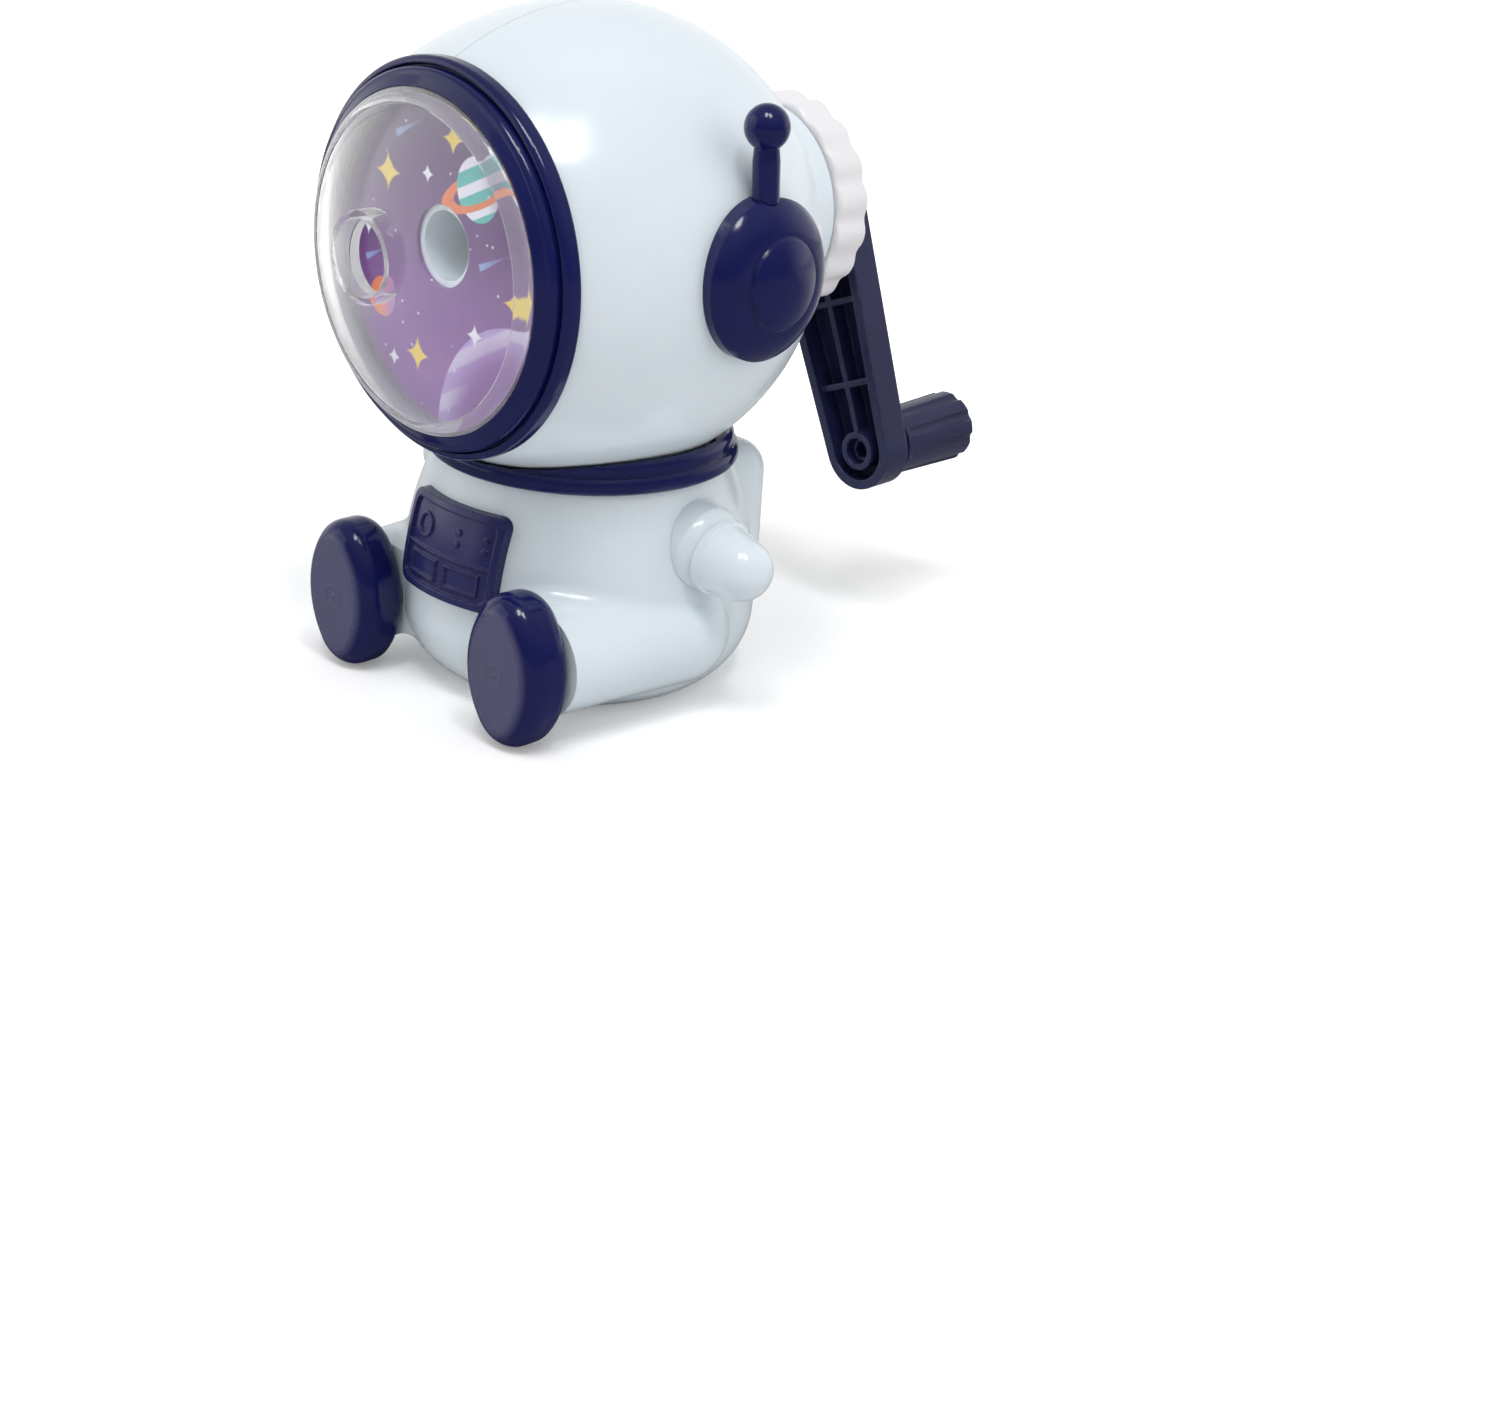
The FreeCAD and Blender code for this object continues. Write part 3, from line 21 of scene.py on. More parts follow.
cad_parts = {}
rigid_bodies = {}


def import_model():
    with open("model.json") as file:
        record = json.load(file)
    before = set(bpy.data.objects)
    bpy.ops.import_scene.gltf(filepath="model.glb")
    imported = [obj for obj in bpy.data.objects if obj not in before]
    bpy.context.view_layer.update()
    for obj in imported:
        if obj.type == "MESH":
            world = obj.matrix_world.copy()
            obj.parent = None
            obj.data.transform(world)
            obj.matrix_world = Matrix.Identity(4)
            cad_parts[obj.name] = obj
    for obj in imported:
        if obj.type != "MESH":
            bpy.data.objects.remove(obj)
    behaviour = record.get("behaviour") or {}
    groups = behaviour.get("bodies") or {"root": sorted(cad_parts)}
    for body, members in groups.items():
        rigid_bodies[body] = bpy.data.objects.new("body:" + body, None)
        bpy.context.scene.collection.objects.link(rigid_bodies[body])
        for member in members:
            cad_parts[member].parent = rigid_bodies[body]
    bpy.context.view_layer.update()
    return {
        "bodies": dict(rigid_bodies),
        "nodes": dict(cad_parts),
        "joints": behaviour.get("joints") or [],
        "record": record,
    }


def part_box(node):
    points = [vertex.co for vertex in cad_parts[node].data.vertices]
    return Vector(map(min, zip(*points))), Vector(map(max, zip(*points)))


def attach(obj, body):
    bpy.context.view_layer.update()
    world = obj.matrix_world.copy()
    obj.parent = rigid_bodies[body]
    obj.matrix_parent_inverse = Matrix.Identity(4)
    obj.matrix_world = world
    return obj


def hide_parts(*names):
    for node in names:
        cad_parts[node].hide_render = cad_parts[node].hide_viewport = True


log = logging.getLogger("sharpener")

MM = 0.001
WELD = 1e-7
SHARP_ANGLE = math.radians(35)

Colour = tuple[float, float, float]
Place = tuple[float, float, float]
Motif = tuple[float, float, float]
Point = tuple[float, float]
Value = Union["Wire", float, Sequence[float]]


class Finish(Enum):
    """The finishes, each with its material's name and the record's material slot."""

    MINT = ("mint_shell_finish", "mint_shell")
    NAVY = ("navy_trim_finish", "navy_trim")
    SOLE = ("satin_sole_painted_sheen_finish", "navy_trim")
    PANEL = ("satin_panel_painted_sheen_finish", "navy_trim")
    CRANK = ("satin_crank_finish", "navy_trim")
    CLEAR = ("clear_visor_finish", "clear_visor")
    CARD = ("printed_card_finish", "printed_card")
    WHITE = ("white_ring_finish", "white_ring")
    BLACK = ("black_carrier_finish", "black_carrier")
    GEAR = ("gear_finish", "gear_plastic")
    STEEL = ("steel_finish", "steel")
    CUTTER = ("cutter_finish", "cutter_steel")

    @property
    def material(self) -> str:
        """The material's name."""
        return self.value[0]

    @property
    def slot(self) -> str:
        """The record's material slot."""
        return self.value[1]


class Wire:
    """A shader socket whose arithmetic adds Math nodes."""

    def __init__(self, graph: Graph, socket: bpy.types.NodeSocket) -> None:
        """Hold a socket and the graph it belongs to."""
        self.graph = graph
        self.socket = socket

    def out(self, name: str) -> Wire:
        """Another output of the same node."""
        return Wire(self.graph, self.socket.node.outputs[name])

    def __add__(self, other: Value) -> Wire:
        """Sum of two values."""
        return self.graph.math("ADD", self, other)

    def __sub__(self, other: Value) -> Wire:
        """Difference of two values."""
        return self.graph.math("SUBTRACT", self, other)

    def __mul__(self, other: Value) -> Wire:
        """Product of two values."""
        return self.graph.math("MULTIPLY", self, other)

    def __truediv__(self, other: Value) -> Wire:
        """Quotient of two values."""
        return self.graph.math("DIVIDE", self, other)

    def __pow__(self, other: Value) -> Wire:
        """Power of a value."""
        return self.graph.math("POWER", self, other)

    def __radd__(self, other: float) -> Wire:
        """Sum that starts with a number."""
        return self.graph.math("ADD", other, self)

    def __rsub__(self, other: float) -> Wire:
        """Difference that starts with a number."""
        return self.graph.math("SUBTRACT", other, self)

    def __rmul__(self, other: float) -> Wire:
        """Product that starts with a number."""
        return self.graph.math("MULTIPLY", other, self)

    def __rtruediv__(self, other: float) -> Wire:
        """Quotient that starts with a number."""
        return self.graph.math("DIVIDE", other, self)

    def __rpow__(self, other: float) -> Wire:
        """Power of a number."""
        return self.graph.math("POWER", other, self)

    def __abs__(self) -> Wire:
        """Size of a value without its sign."""
        return self.graph.math("ABSOLUTE", self)


class Graph:
    """A node tree that is written as expressions."""

    def __init__(self, tree: bpy.types.NodeTree) -> None:
        """Start from an empty tree."""
        self.tree = tree
        self.tree.nodes.clear()

    def node(
        self,
        kind: str,
        settings: dict[str, Any] | None = None,
        sockets: dict[Any, Value] | None = None,
        output: str | int = 0,
    ) -> Wire:
        """Add one node.

        Args:
            kind: The node's type.
            settings: Its properties, set before the sockets.
            sockets: Values or wires for its inputs, by name or number.
            output: The output that is handed back.

        Returns:
            The chosen output, or the input of a node that has no outputs.
        """
        made = self.tree.nodes.new(kind)
        for name, value in (settings or {}).items():
            setattr(made, name, value)
        for name, value in (sockets or {}).items():
            self._feed(made.inputs[name], value)
        ends = made.outputs if len(made.outputs) else made.inputs
        return Wire(self, ends[output])

    def _feed(self, socket: bpy.types.NodeSocket, value: Value) -> None:
        """Link or set one input.

        Args:
            socket: The input.
            value: A wire, a number, or a vector or colour of three numbers.
        """
        if isinstance(value, Wire):
            self.tree.links.new(value.socket, socket)
        elif isinstance(value, (int, float)):
            socket.default_value = value
        else:
            room = len(socket.default_value)
            socket.default_value = (*value, 1.0)[:room]

    def math(self, operation: str, *values: Value, clamp: bool = False) -> Wire:
        """A Math node on one to three values."""
        settings = {"operation": operation, "use_clamp": clamp}
        return self.node("ShaderNodeMath", settings, dict(enumerate(values)))

    def vector(self, operation: str, *values: Value, output: str = "Vector") -> Wire:
        """A Vector Math node."""
        sockets = dict(enumerate(values))
        return self.node("ShaderNodeVectorMath", {"operation": operation}, sockets, output)

    def dot(self, first: Value, second: Value) -> Wire:
        """Dot product of two vectors."""
        return self.vector("DOT_PRODUCT", first, second, output="Value")

    def axis(self, letter: str, at: Wire | None = None) -> Wire:
        """One coordinate of the surface point or of another vector."""
        return self.node("ShaderNodeSeparateXYZ", {}, {"Vector": at or self.point}, letter)

    def mix(self, factor: Value, first: Value, second: Value) -> Wire:
        """Blend two colours, through the Mix node's numbered colour sockets."""
        sockets = {0: factor, 6: first, 7: second}
        return self.node("ShaderNodeMix", {"data_type": "RGBA"}, sockets, 2)

    def soft(self, inside: Value, width: float) -> Wire:
        """A mask that goes from 0 to 1 as a signed distance passes zero over a width."""
        return self.math("MULTIPLY_ADD", inside, 1 / width, 0.5, clamp=True)

    def ease(self, value: Value, low: float, high: float) -> Wire:
        """A smooth step from 0 at one value to 1 at another."""
        sockets = {"Value": value, "From Min": low, "From Max": high}
        return self.node("ShaderNodeMapRange", {"interpolation_type": "SMOOTHSTEP"}, sockets)

    @cached_property
    def point(self) -> Wire:
        """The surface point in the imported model's frame."""
        return self.node("ShaderNodeTexCoord", output="Object")

    def mapped(self, turn: Place, stretch: Place) -> Wire:
        """The surface point in a turned and stretched frame."""
        sockets = {"Vector": self.point, "Rotation": turn, "Scale": stretch}
        return self.node("ShaderNodeMapping", {}, sockets)

    def noise(
        self, scale: float, detail: float = 2.0, rough: float = 0.5, at: Wire | None = None
    ) -> Wire:
        """Cloudy values round 0.5, with so many features to the metre."""
        sockets = {"Vector": at or self.point, "Scale": scale, "Detail": detail, "Roughness": rough}
        return self.node("ShaderNodeTexNoise", {}, sockets)

    def cells(self, scale: float) -> Wire:
        """Distance to the nearest of scattered points, with so many to the metre."""
        sockets = {"Vector": self.point, "Scale": scale}
        return self.node("ShaderNodeTexVoronoi", {}, sockets, "Distance")

    def bump(self, height: Wire, depth: float, normal: Wire | None = None) -> Wire:
        """A surface normal that follows a height.

        Args:
            height: The height, where 1 is the full depth.
            depth: The depth in metres.
            normal: The normal that is bent, if it isn't the surface's own.

        Returns:
            The bent normal.
        """
        sockets: dict[Any, Value] = {"Height": height, "Distance": depth, "Strength": 1.0}
        if normal is not None:
            sockets["Normal"] = normal
        return self.node("ShaderNodeBump", {}, sockets)

    def principled(self, sockets: dict[Any, Value]) -> Wire:
        """A Principled shader."""
        return self.node("ShaderNodeBsdfPrincipled", {}, sockets)

    def show(self, shader: Wire, kind: str = "ShaderNodeOutputMaterial") -> None:
        """Send a shader to the output."""
        self.node(kind, {}, {"Surface": shader})


def new_graph(name: str) -> tuple[bpy.types.Material, Graph]:
    """Make a material with an empty graph.

    Args:
        name: The material's name.

    Returns:
        The material and its graph.
    """
    material = bpy.data.materials.new(name)
    material.use_nodes = True
    return material, Graph(material.node_tree)


class Recipe:
    """A finish that is written as one shader on the surface point.

    A scale counts a pattern's features to the metre, and a range is the pair of values between
    which the pattern comes in.
    """

    def make(self, name: str) -> bpy.types.Material:
        """Write the material.

        Args:
            name: The material's name.

        Returns:
            The material.
        """
        material, g = new_graph(name)
        g.show(self.shader(g))
        return material

    def shader(self, g: Graph) -> Wire:
        """Write the shader."""
        raise NotImplementedError


@dataclass(frozen=True)
class MouldedPlastic(Recipe):
    """Moulded plastic: flow clouds, orange peel, handling scratches, flecks, softened edges, and
    paler edges that are partly wear and partly painted edge highlight.

    A dull face lies in front of a plane across Y, where the moulding is dull and much paler; the
    paler colour is painted sheen.
    Each set of hairlines has a turn, a stretch and a range.
    """

    colour: Colour
    shade: Colour
    roughness: float
    cloud_scale: float = 55.0
    cloud_range: Point = (0.35, 0.7)
    peel: float = 0.012 * MM
    peel_scale: float = 620.0
    edge: float = 0.35 * MM
    edge_samples: int = 6
    # Strength of the paler edges: partly wear, partly painted edge highlight.
    edge_wear_and_highlight: float = 0.0
    edge_wear_and_highlight_range: Point = (0.04, 0.3)
    edge_patch_scale: float = 900.0
    edge_patch_range: Point = (0.35, 0.65)
    flecks: float = 0.0
    fleck_scale: float = 160.0
    fleck_range: Point = (0.012, 0.022)
    fleck_patch_scale: float = 47.0
    fleck_patch_range: Point = (0.62, 0.66)
    fleck_colour: Colour = (0.10, 0.10, 0.11)
    hairlines: float = 0.10
    hairline_sets: tuple[tuple[Place, Place, Point], ...] = (
        ((0.4, 0.2, 0.9), (60.0, 2600.0, 2600.0), (0.69, 0.73)),
        ((1.2, 0.7, 0.1), (2400.0, 70.0, 2400.0), (0.70, 0.74)),
    )
    smear: float = 0.08
    smear_scale: float = 420.0
    gloss: float = 0.5
    satin_painted_sheen_face: float | None = None
    satin_painted_sheen_band: Point = (-0.5 * MM, 0.6 * MM)
    # Colour of the dull face: painted sheen.
    satin_painted_sheen_colour: Colour = (0.14, 0.135, 0.225)
    satin_roughness: float = 0.42
    satin_grain: float = 0.012 * MM
    satin_grain_scale: float = 2600.0

    def shader(self, g: Graph) -> Wire:
        """Write the moulding's shader.

        Args:
            g: The graph to write in.

        Returns:
            The shader.
        """
        rounded = g.node("ShaderNodeBevel", {"samples": self.edge_samples}, {"Radius": self.edge})
        colour = self._colour(g, rounded)
        smears = g.noise(self.smear_scale, 3.0) * self.smear
        roughness = self._scratches(g) * self.hairlines + smears
        roughness = roughness + (self.roughness - self.smear / 2)
        normal = g.bump(g.noise(self.peel_scale, 2.0, 0.4), self.peel, rounded)
        if self.satin_painted_sheen_face is not None:
            front, back = (self.satin_painted_sheen_face + offset for offset in self.satin_painted_sheen_band)
            # In front of the sole plane the moulding turns dull and grainy, and its colour much
            # paler: painted sheen.
            satin_and_painted_sheen = 1 - g.ease(g.axis("Y"), front, back)
            colour = g.mix(satin_and_painted_sheen, colour, self.satin_painted_sheen_colour)
            roughness = roughness + satin_and_painted_sheen * (self.satin_roughness - self.roughness)
            grain = g.noise(self.satin_grain_scale, 2.0, 0.5) * satin_and_painted_sheen
            normal = g.bump(grain, self.satin_grain, normal)
        return g.principled({
            "Base Color": colour,
            "Roughness": roughness,
            "IOR": 1.5,
            "Specular IOR Level": self.gloss,
            "Normal": normal,
        })

    def _colour(self, g: Graph, rounded: Wire) -> Wire:
        """Flow clouds with paler edges, partly wear and partly painted edge highlight, and flecks.

        Args:
            g: The graph to write in.
            rounded: The normal with softened edges.

        Returns:
            The colour.
        """
        flow = g.mapped(turn=(0.3, 0.5, 0.2), stretch=(1.0, 0.7, 1.6))
        clouds = g.noise(self.cloud_scale, 3.0, 0.55, flow)
        colour = g.mix(g.ease(clouds, *self.cloud_range), self.colour, self.shade)
        # Edges and creases are painted paler in patches: partly wear, partly painted edge highlight.
        if self.edge_wear_and_highlight:
            facing = g.dot(rounded, g.node("ShaderNodeNewGeometry", output="Normal"))
            edge_patches = g.ease(g.noise(self.edge_patch_scale), *self.edge_patch_range)
            wear_and_highlight_mask = g.ease(1 - facing, *self.edge_wear_and_highlight_range) * edge_patches
            paler = tuple(0.5 * (channel + 0.5) for channel in self.colour)
            colour = g.mix(wear_and_highlight_mask * self.edge_wear_and_highlight, colour, paler)
        if self.flecks:
            specks = 1 - g.ease(g.cells(self.fleck_scale), *self.fleck_range)
            patches = g.noise(self.fleck_patch_scale, 0.0)
            few = g.ease(patches, *self.fleck_patch_range)
            colour = g.mix(specks * few * self.flecks, colour, self.fleck_colour)
        return colour

    def _scratches(self, g: Graph) -> Wire:
        """Fine hairlines in two directions.

        Args:
            g: The graph to write in.

        Returns:
            A value that is 1 on a hairline and 0 elsewhere.
        """
        lines = [
            g.ease(g.noise(1.0, 1.0, at=g.mapped(turn, stretch)), *shown)
            for turn, stretch, shown in self.hairline_sets
        ]
        return g.math("MAXIMUM", *lines)


@dataclass(frozen=True)
class ClearPlastic(Recipe):
    """Clear polished plastic that lets the lamps through to what is behind it."""

    tint: Colour = (0.975, 0.982, 0.99)
    roughness: float = 0.03
    haze: float = 0.04
    haze_scale: float = 180.0
    haze_range: Point = (0.45, 0.8)
    ripple: float = 0.02 * MM
    ripple_scale: float = 130.0
    clearness: float = 0.98
    veil: float = 0.85
    head_on_gloss: float = 0.3

    def shader(self, g: Graph) -> Wire:
        """Write the window's shader.

        Args:
            g: The graph to write in.

        Returns:
            The shader.
        """
        patches = g.ease(g.noise(self.haze_scale, 4.0, 0.6), *self.haze_range)
        clear = g.principled({
            "Base Color": self.tint,
            "Roughness": patches * self.haze + self.roughness,
            "IOR": 1.49,
            "Transmission Weight": self.clearness,
            "Specular Tint": (self.head_on_gloss,) * 3,
            "Sheen Weight": self.veil,
            "Sheen Roughness": 0.45,
            "Normal": g.bump(g.noise(self.ripple_scale, 1.0), self.ripple),
        })
        open_to_lamps = g.node("ShaderNodeBsdfTransparent", {}, {"Color": self.tint})
        lamp = g.node("ShaderNodeLightPath", output="Is Shadow Ray")
        return g.node("ShaderNodeMixShader", {}, {0: lamp, 1: clear, 2: open_to_lamps})


class Print:
    """Flat shapes on the card, as masks of its own coordinates in millimetres."""

    SPARKLE_POWER = 0.6
    SPARKLE_SOFTNESS = 2.5
    STREAK_END = 0.05

    def __init__(self, graph: Graph, centre_height: float, edge: float = 0.12) -> None:
        """Lay out the card's coordinates.

        Args:
            graph: The graph to write in.
            centre_height: Height of the card's centre.
            edge: How soft a printed edge is.
        """
        self.graph = graph
        self.across = graph.axis("X") / MM
        self.up = (graph.axis("Z") - centre_height) / MM
        self.edge = edge

    def local(self, centre: Point, turn: float = 0.0) -> tuple[Wire, Wire]:
        """Coordinates about a motif's centre.

        Args:
            centre: Its place on the card.
            turn: Its turn in degrees, anticlockwise.

        Returns:
            The motif's own two coordinates.
        """
        x, y = self.across - centre[0], self.up - centre[1]
        if not turn:
            return x, y
        cosine, sine = math.cos(math.radians(turn)), math.sin(math.radians(turn))
        return x * cosine + y * sine, y * cosine - x * sine

    def oval(self, centre: Point, wide: float, tall: float, turn: float = 0.0) -> Wire:
        """Distance inside an oval, as a share of its size that falls to zero on its outline."""
        x, y = self.local(centre, turn)
        return 1 - self.graph.math("SQRT", (x / wide) ** 2.0 + (y / tall) ** 2.0)

    def disc(self, centre: Point, radius: float) -> Wire:
        """Mask of a disc."""
        return self.graph.soft(self.oval(centre, radius, radius), self.edge / radius)

    def hoop(self, centre: Point, wide: float, tall: float, share: float, turn: float) -> Wire:
        """Mask of an oval band whose width is a share of its size."""
        middle = share / 2 - abs(self.oval(centre, wide, tall, turn) - share / 2)
        return self.graph.soft(middle, self.edge / tall)

    def sparkle(self, centre: Point, size: float) -> Wire:
        """Mask of a four-pointed sparkle with hollow sides.

        Args:
            centre: Its place on the card.
            size: How far its points reach.

        Returns:
            The mask.
        """
        x, y = self.local(centre)
        reach = abs(x / size) ** self.SPARKLE_POWER + abs(y / size) ** self.SPARKLE_POWER
        return self.graph.soft(1 - reach, self.SPARKLE_SOFTNESS * self.edge / size)

    def streak(self, centre: Point, length: float, width: float, turn: float) -> Wire:
        """Mask of a streak that is bright at one end and fades to the other.

        Args:
            centre: Its place on the card.
            length: Its length.
            width: Half of its width at the bright end.
            turn: Its turn in degrees, anticlockwise.

        Returns:
            The mask.
        """
        x, y = self.local(centre, turn)
        along = x / length + 0.5
        sides = self.graph.soft(width * along - abs(y), self.edge)
        ends = self.graph.soft(0.5 - abs(along - 0.5), self.STREAK_END)
        return sides * ends * along


@dataclass(frozen=True)
class World:
    """A printed disc: its place, size and turn, its bands, and where its shade comes in."""

    centre: Point
    radius: float
    shade_range: Point
    turn: float = 0.0
    band_rate: float = 0.0
    band_range: Point = (0.0, 1.0)


@dataclass(frozen=True)
class PrintedCard(Recipe):
    """Laminated card printed with a violet night sky, worlds, sparkles and streaks.

    The motifs' places and sizes are in millimetres from the card's centre: across, up, and the
    reach of a sparkle or the length of a streak.
    """

    centre_height: float
    night: Colour = (0.080, 0.022, 0.128)
    dusk: Colour = (0.262, 0.104, 0.365)
    rose: Colour = (0.42, 0.19, 0.48)
    gold: Colour = (0.90, 0.66, 0.10)
    white: Colour = (0.86, 0.84, 0.92)
    teal: Colour = (0.10, 0.50, 0.46)
    coral: Colour = (0.80, 0.22, 0.08)
    lilac: Colour = (0.48, 0.34, 0.68)
    sky_blue: Colour = (0.32, 0.48, 0.86)
    cloud_scale: float = 75.0
    cloud_lift: float = 26.0
    night_range: Point = (-20.0, 17.0)
    rose_range: Point = (0.5, 0.78)
    rose_share: float = 0.7
    rising: World = World((15.0, -21.0), 15.5, (0.0, 0.35), 28.0, 1.5, (-0.2, 0.5))
    rising_band_share: float = 0.45
    rising_edge: float = 0.012
    banded: World = World((6.8, 10.2), 4.0, (0.5, 4.0), 24.0, 2.1, (0.1, 0.35))
    band_phase: float = 0.6
    banded_shade: float = 0.6
    hoop_reach: Point = (7.6, 2.3)
    hoop_share: float = 0.34
    hoop_edge: float = 0.2
    small: World = World((-12.5, -7.0), 2.6, (-1.0, 2.4))
    golden: tuple[Motif, ...] = (
        (-11.0, 9.5, 2.6), (2.0, 15.5, 2.0), (14.5, -2.5, 2.7),
        (-5.0, -13.0, 2.4), (17.0, 4.5, 1.3),
    )
    silver: tuple[Motif, ...] = (
        (-15.5, 2.0, 1.5), (6.5, -8.0, 1.6), (-3.0, 10.5, 1.2),
        (-10.0, -14.5, 1.3), (15.0, 13.5, 1.1),
    )
    streaks: tuple[Motif, ...] = ((-6.0, 16.0, 7.0), (10.0, 2.0, 6.0), (-14.0, -1.5, 4.5))
    streak_width: float = 0.45
    streak_turn: float = 205.0
    streak_share: float = 0.8
    dust_scale: float = 420.0
    dust_range: Point = (0.06, 0.10)
    dust_share: float = 0.7
    mottle: float = 0.06
    mottle_scale: float = 1100.0
    mottle_range: Point = (0.4, 0.7)
    roughness: float = 0.3
    smear: float = 0.12
    smear_scale: float = 300.0
    grain: float = 0.006 * MM
    grain_scale: float = 1500.0

    def shader(self, g: Graph) -> Wire:
        """Write the card's shader.

        Args:
            g: The graph to write in.

        Returns:
            The shader.
        """
        art = Print(g, self.centre_height)
        colour = self._lights(art, self._worlds(art, self._sky(art)))
        mottle = g.ease(g.noise(self.mottle_scale), *self.mottle_range) * self.mottle
        return g.principled({
            "Base Color": g.mix(mottle, colour, self.night),
            "Roughness": g.noise(self.smear_scale, 3.0) * self.smear + self.roughness,
            "Coat Weight": 0.3,
            "Coat Roughness": 0.15,
            "Normal": g.bump(g.noise(self.grain_scale, 3.0), self.grain),
        })

    def _sky(self, art: Print) -> Wire:
        """Violet sky, lighter and rosier towards the bottom.

        Args:
            art: The card's coordinates.

        Returns:
            The sky's colour.
        """
        g = art.graph
        drift = g.mapped(turn=(0.0, 0.6, 0.0), stretch=(1.0, 1.0, 1.8))
        clouds = g.noise(self.cloud_scale, 5.0, 0.55, drift)
        rise = g.ease(art.up + (clouds - 0.5) * self.cloud_lift, *self.night_range)
        sky = g.mix(rise, self.dusk, self.night)
        blush = g.ease(clouds, *self.rose_range) * (1 - rise) * self.rose_share
        return g.mix(blush, sky, self.rose)

    def _worlds(self, art: Print, colour: Wire) -> Wire:
        """A rising pale world, a banded one with a hoop and a small one.

        Args:
            art: The printed shapes.
            colour: What lies under them.

        Returns:
            The colour with the worlds on it.
        """
        g, world = art.graph, self.rising
        inside = art.oval(world.centre, world.radius, world.radius)
        bands = g.math("SINE", art.local(world.centre, world.turn)[1] * world.band_rate)
        bands = g.ease(bands, *world.band_range) * self.rising_band_share
        pale = g.mix(bands, self.lilac, self.white)
        pale = g.mix(g.ease(inside, *world.shade_range), pale, self.dusk)
        colour = g.mix(g.soft(inside, self.rising_edge), colour, pale)

        world = self.banded
        hoop = art.hoop(world.centre, *self.hoop_reach, self.hoop_share, world.turn)
        x, y = art.local(world.centre, world.turn)
        stripes = g.math("SINE", y * world.band_rate + self.band_phase)
        body = g.mix(g.ease(stripes, *world.band_range), self.teal, self.white)
        body = g.mix(g.ease(x, *world.shade_range) * self.banded_shade, body, self.night)
        colour = g.mix(hoop * g.soft(y, self.hoop_edge), colour, self.coral)
        colour = g.mix(art.disc(world.centre, world.radius), colour, body)
        colour = g.mix(hoop * g.soft(0.0 - y, self.hoop_edge), colour, self.coral)

        world = self.small
        shade = g.ease(art.local(world.centre)[0], *world.shade_range)
        shaded = g.mix(shade, self.coral, self.rose)
        return g.mix(art.disc(world.centre, world.radius), colour, shaded)

    def _lights(self, art: Print, colour: Wire) -> Wire:
        """Sparkles, streaks and a scatter of small dots.

        Args:
            art: The printed shapes.
            colour: What lies under them.

        Returns:
            The colour with the lights on it.
        """
        g = art.graph
        for group, paint in ((self.golden, self.gold), (self.silver, self.white)):
            for across, up, size in group:
                colour = g.mix(art.sparkle((across, up), size), colour, paint)
        for across, up, length in self.streaks:
            trail = art.streak((across, up), length, self.streak_width, self.streak_turn)
            colour = g.mix(trail * self.streak_share, colour, self.sky_blue)
        dust = 1 - g.ease(g.cells(self.dust_scale), *self.dust_range)
        return g.mix(dust * self.dust_share, colour, self.white)


@dataclass(frozen=True)
class MachinedMetal(Recipe):
    """Bare metal with fine tool lines along its round and dull patches."""

    colour: Colour
    stain: Colour
    roughness: float
    lines: Place = (90.0, 5200.0, 90.0)
    line_depth: float = 0.008 * MM
    line_stain: float = 0.2
    line_dullness: float = 0.12
    patch_scale: float = 240.0
    patch_range: Point = (0.4, 0.75)
    patch_stain: float = 0.6
    patch_dullness: float = 0.18

    def shader(self, g: Graph) -> Wire:
        """Write the metal's shader.

        Args:
            g: The graph to write in.

        Returns:
            The shader.
        """
        lines = g.noise(1.0, 3.0, 0.6, g.mapped((0.0, 0.0, 0.0), self.lines))
        patches = g.ease(g.noise(self.patch_scale, 4.0, 0.6), *self.patch_range)
        stained = patches * self.patch_stain + lines * self.line_stain
        dulled = patches * self.patch_dullness + lines * self.line_dullness
        return g.principled({
            "Base Color": g.mix(stained, self.colour, self.stain),
            "Metallic": 1.0,
            "Roughness": dulled + self.roughness,
            "Normal": g.bump(lines, self.line_depth),
        })


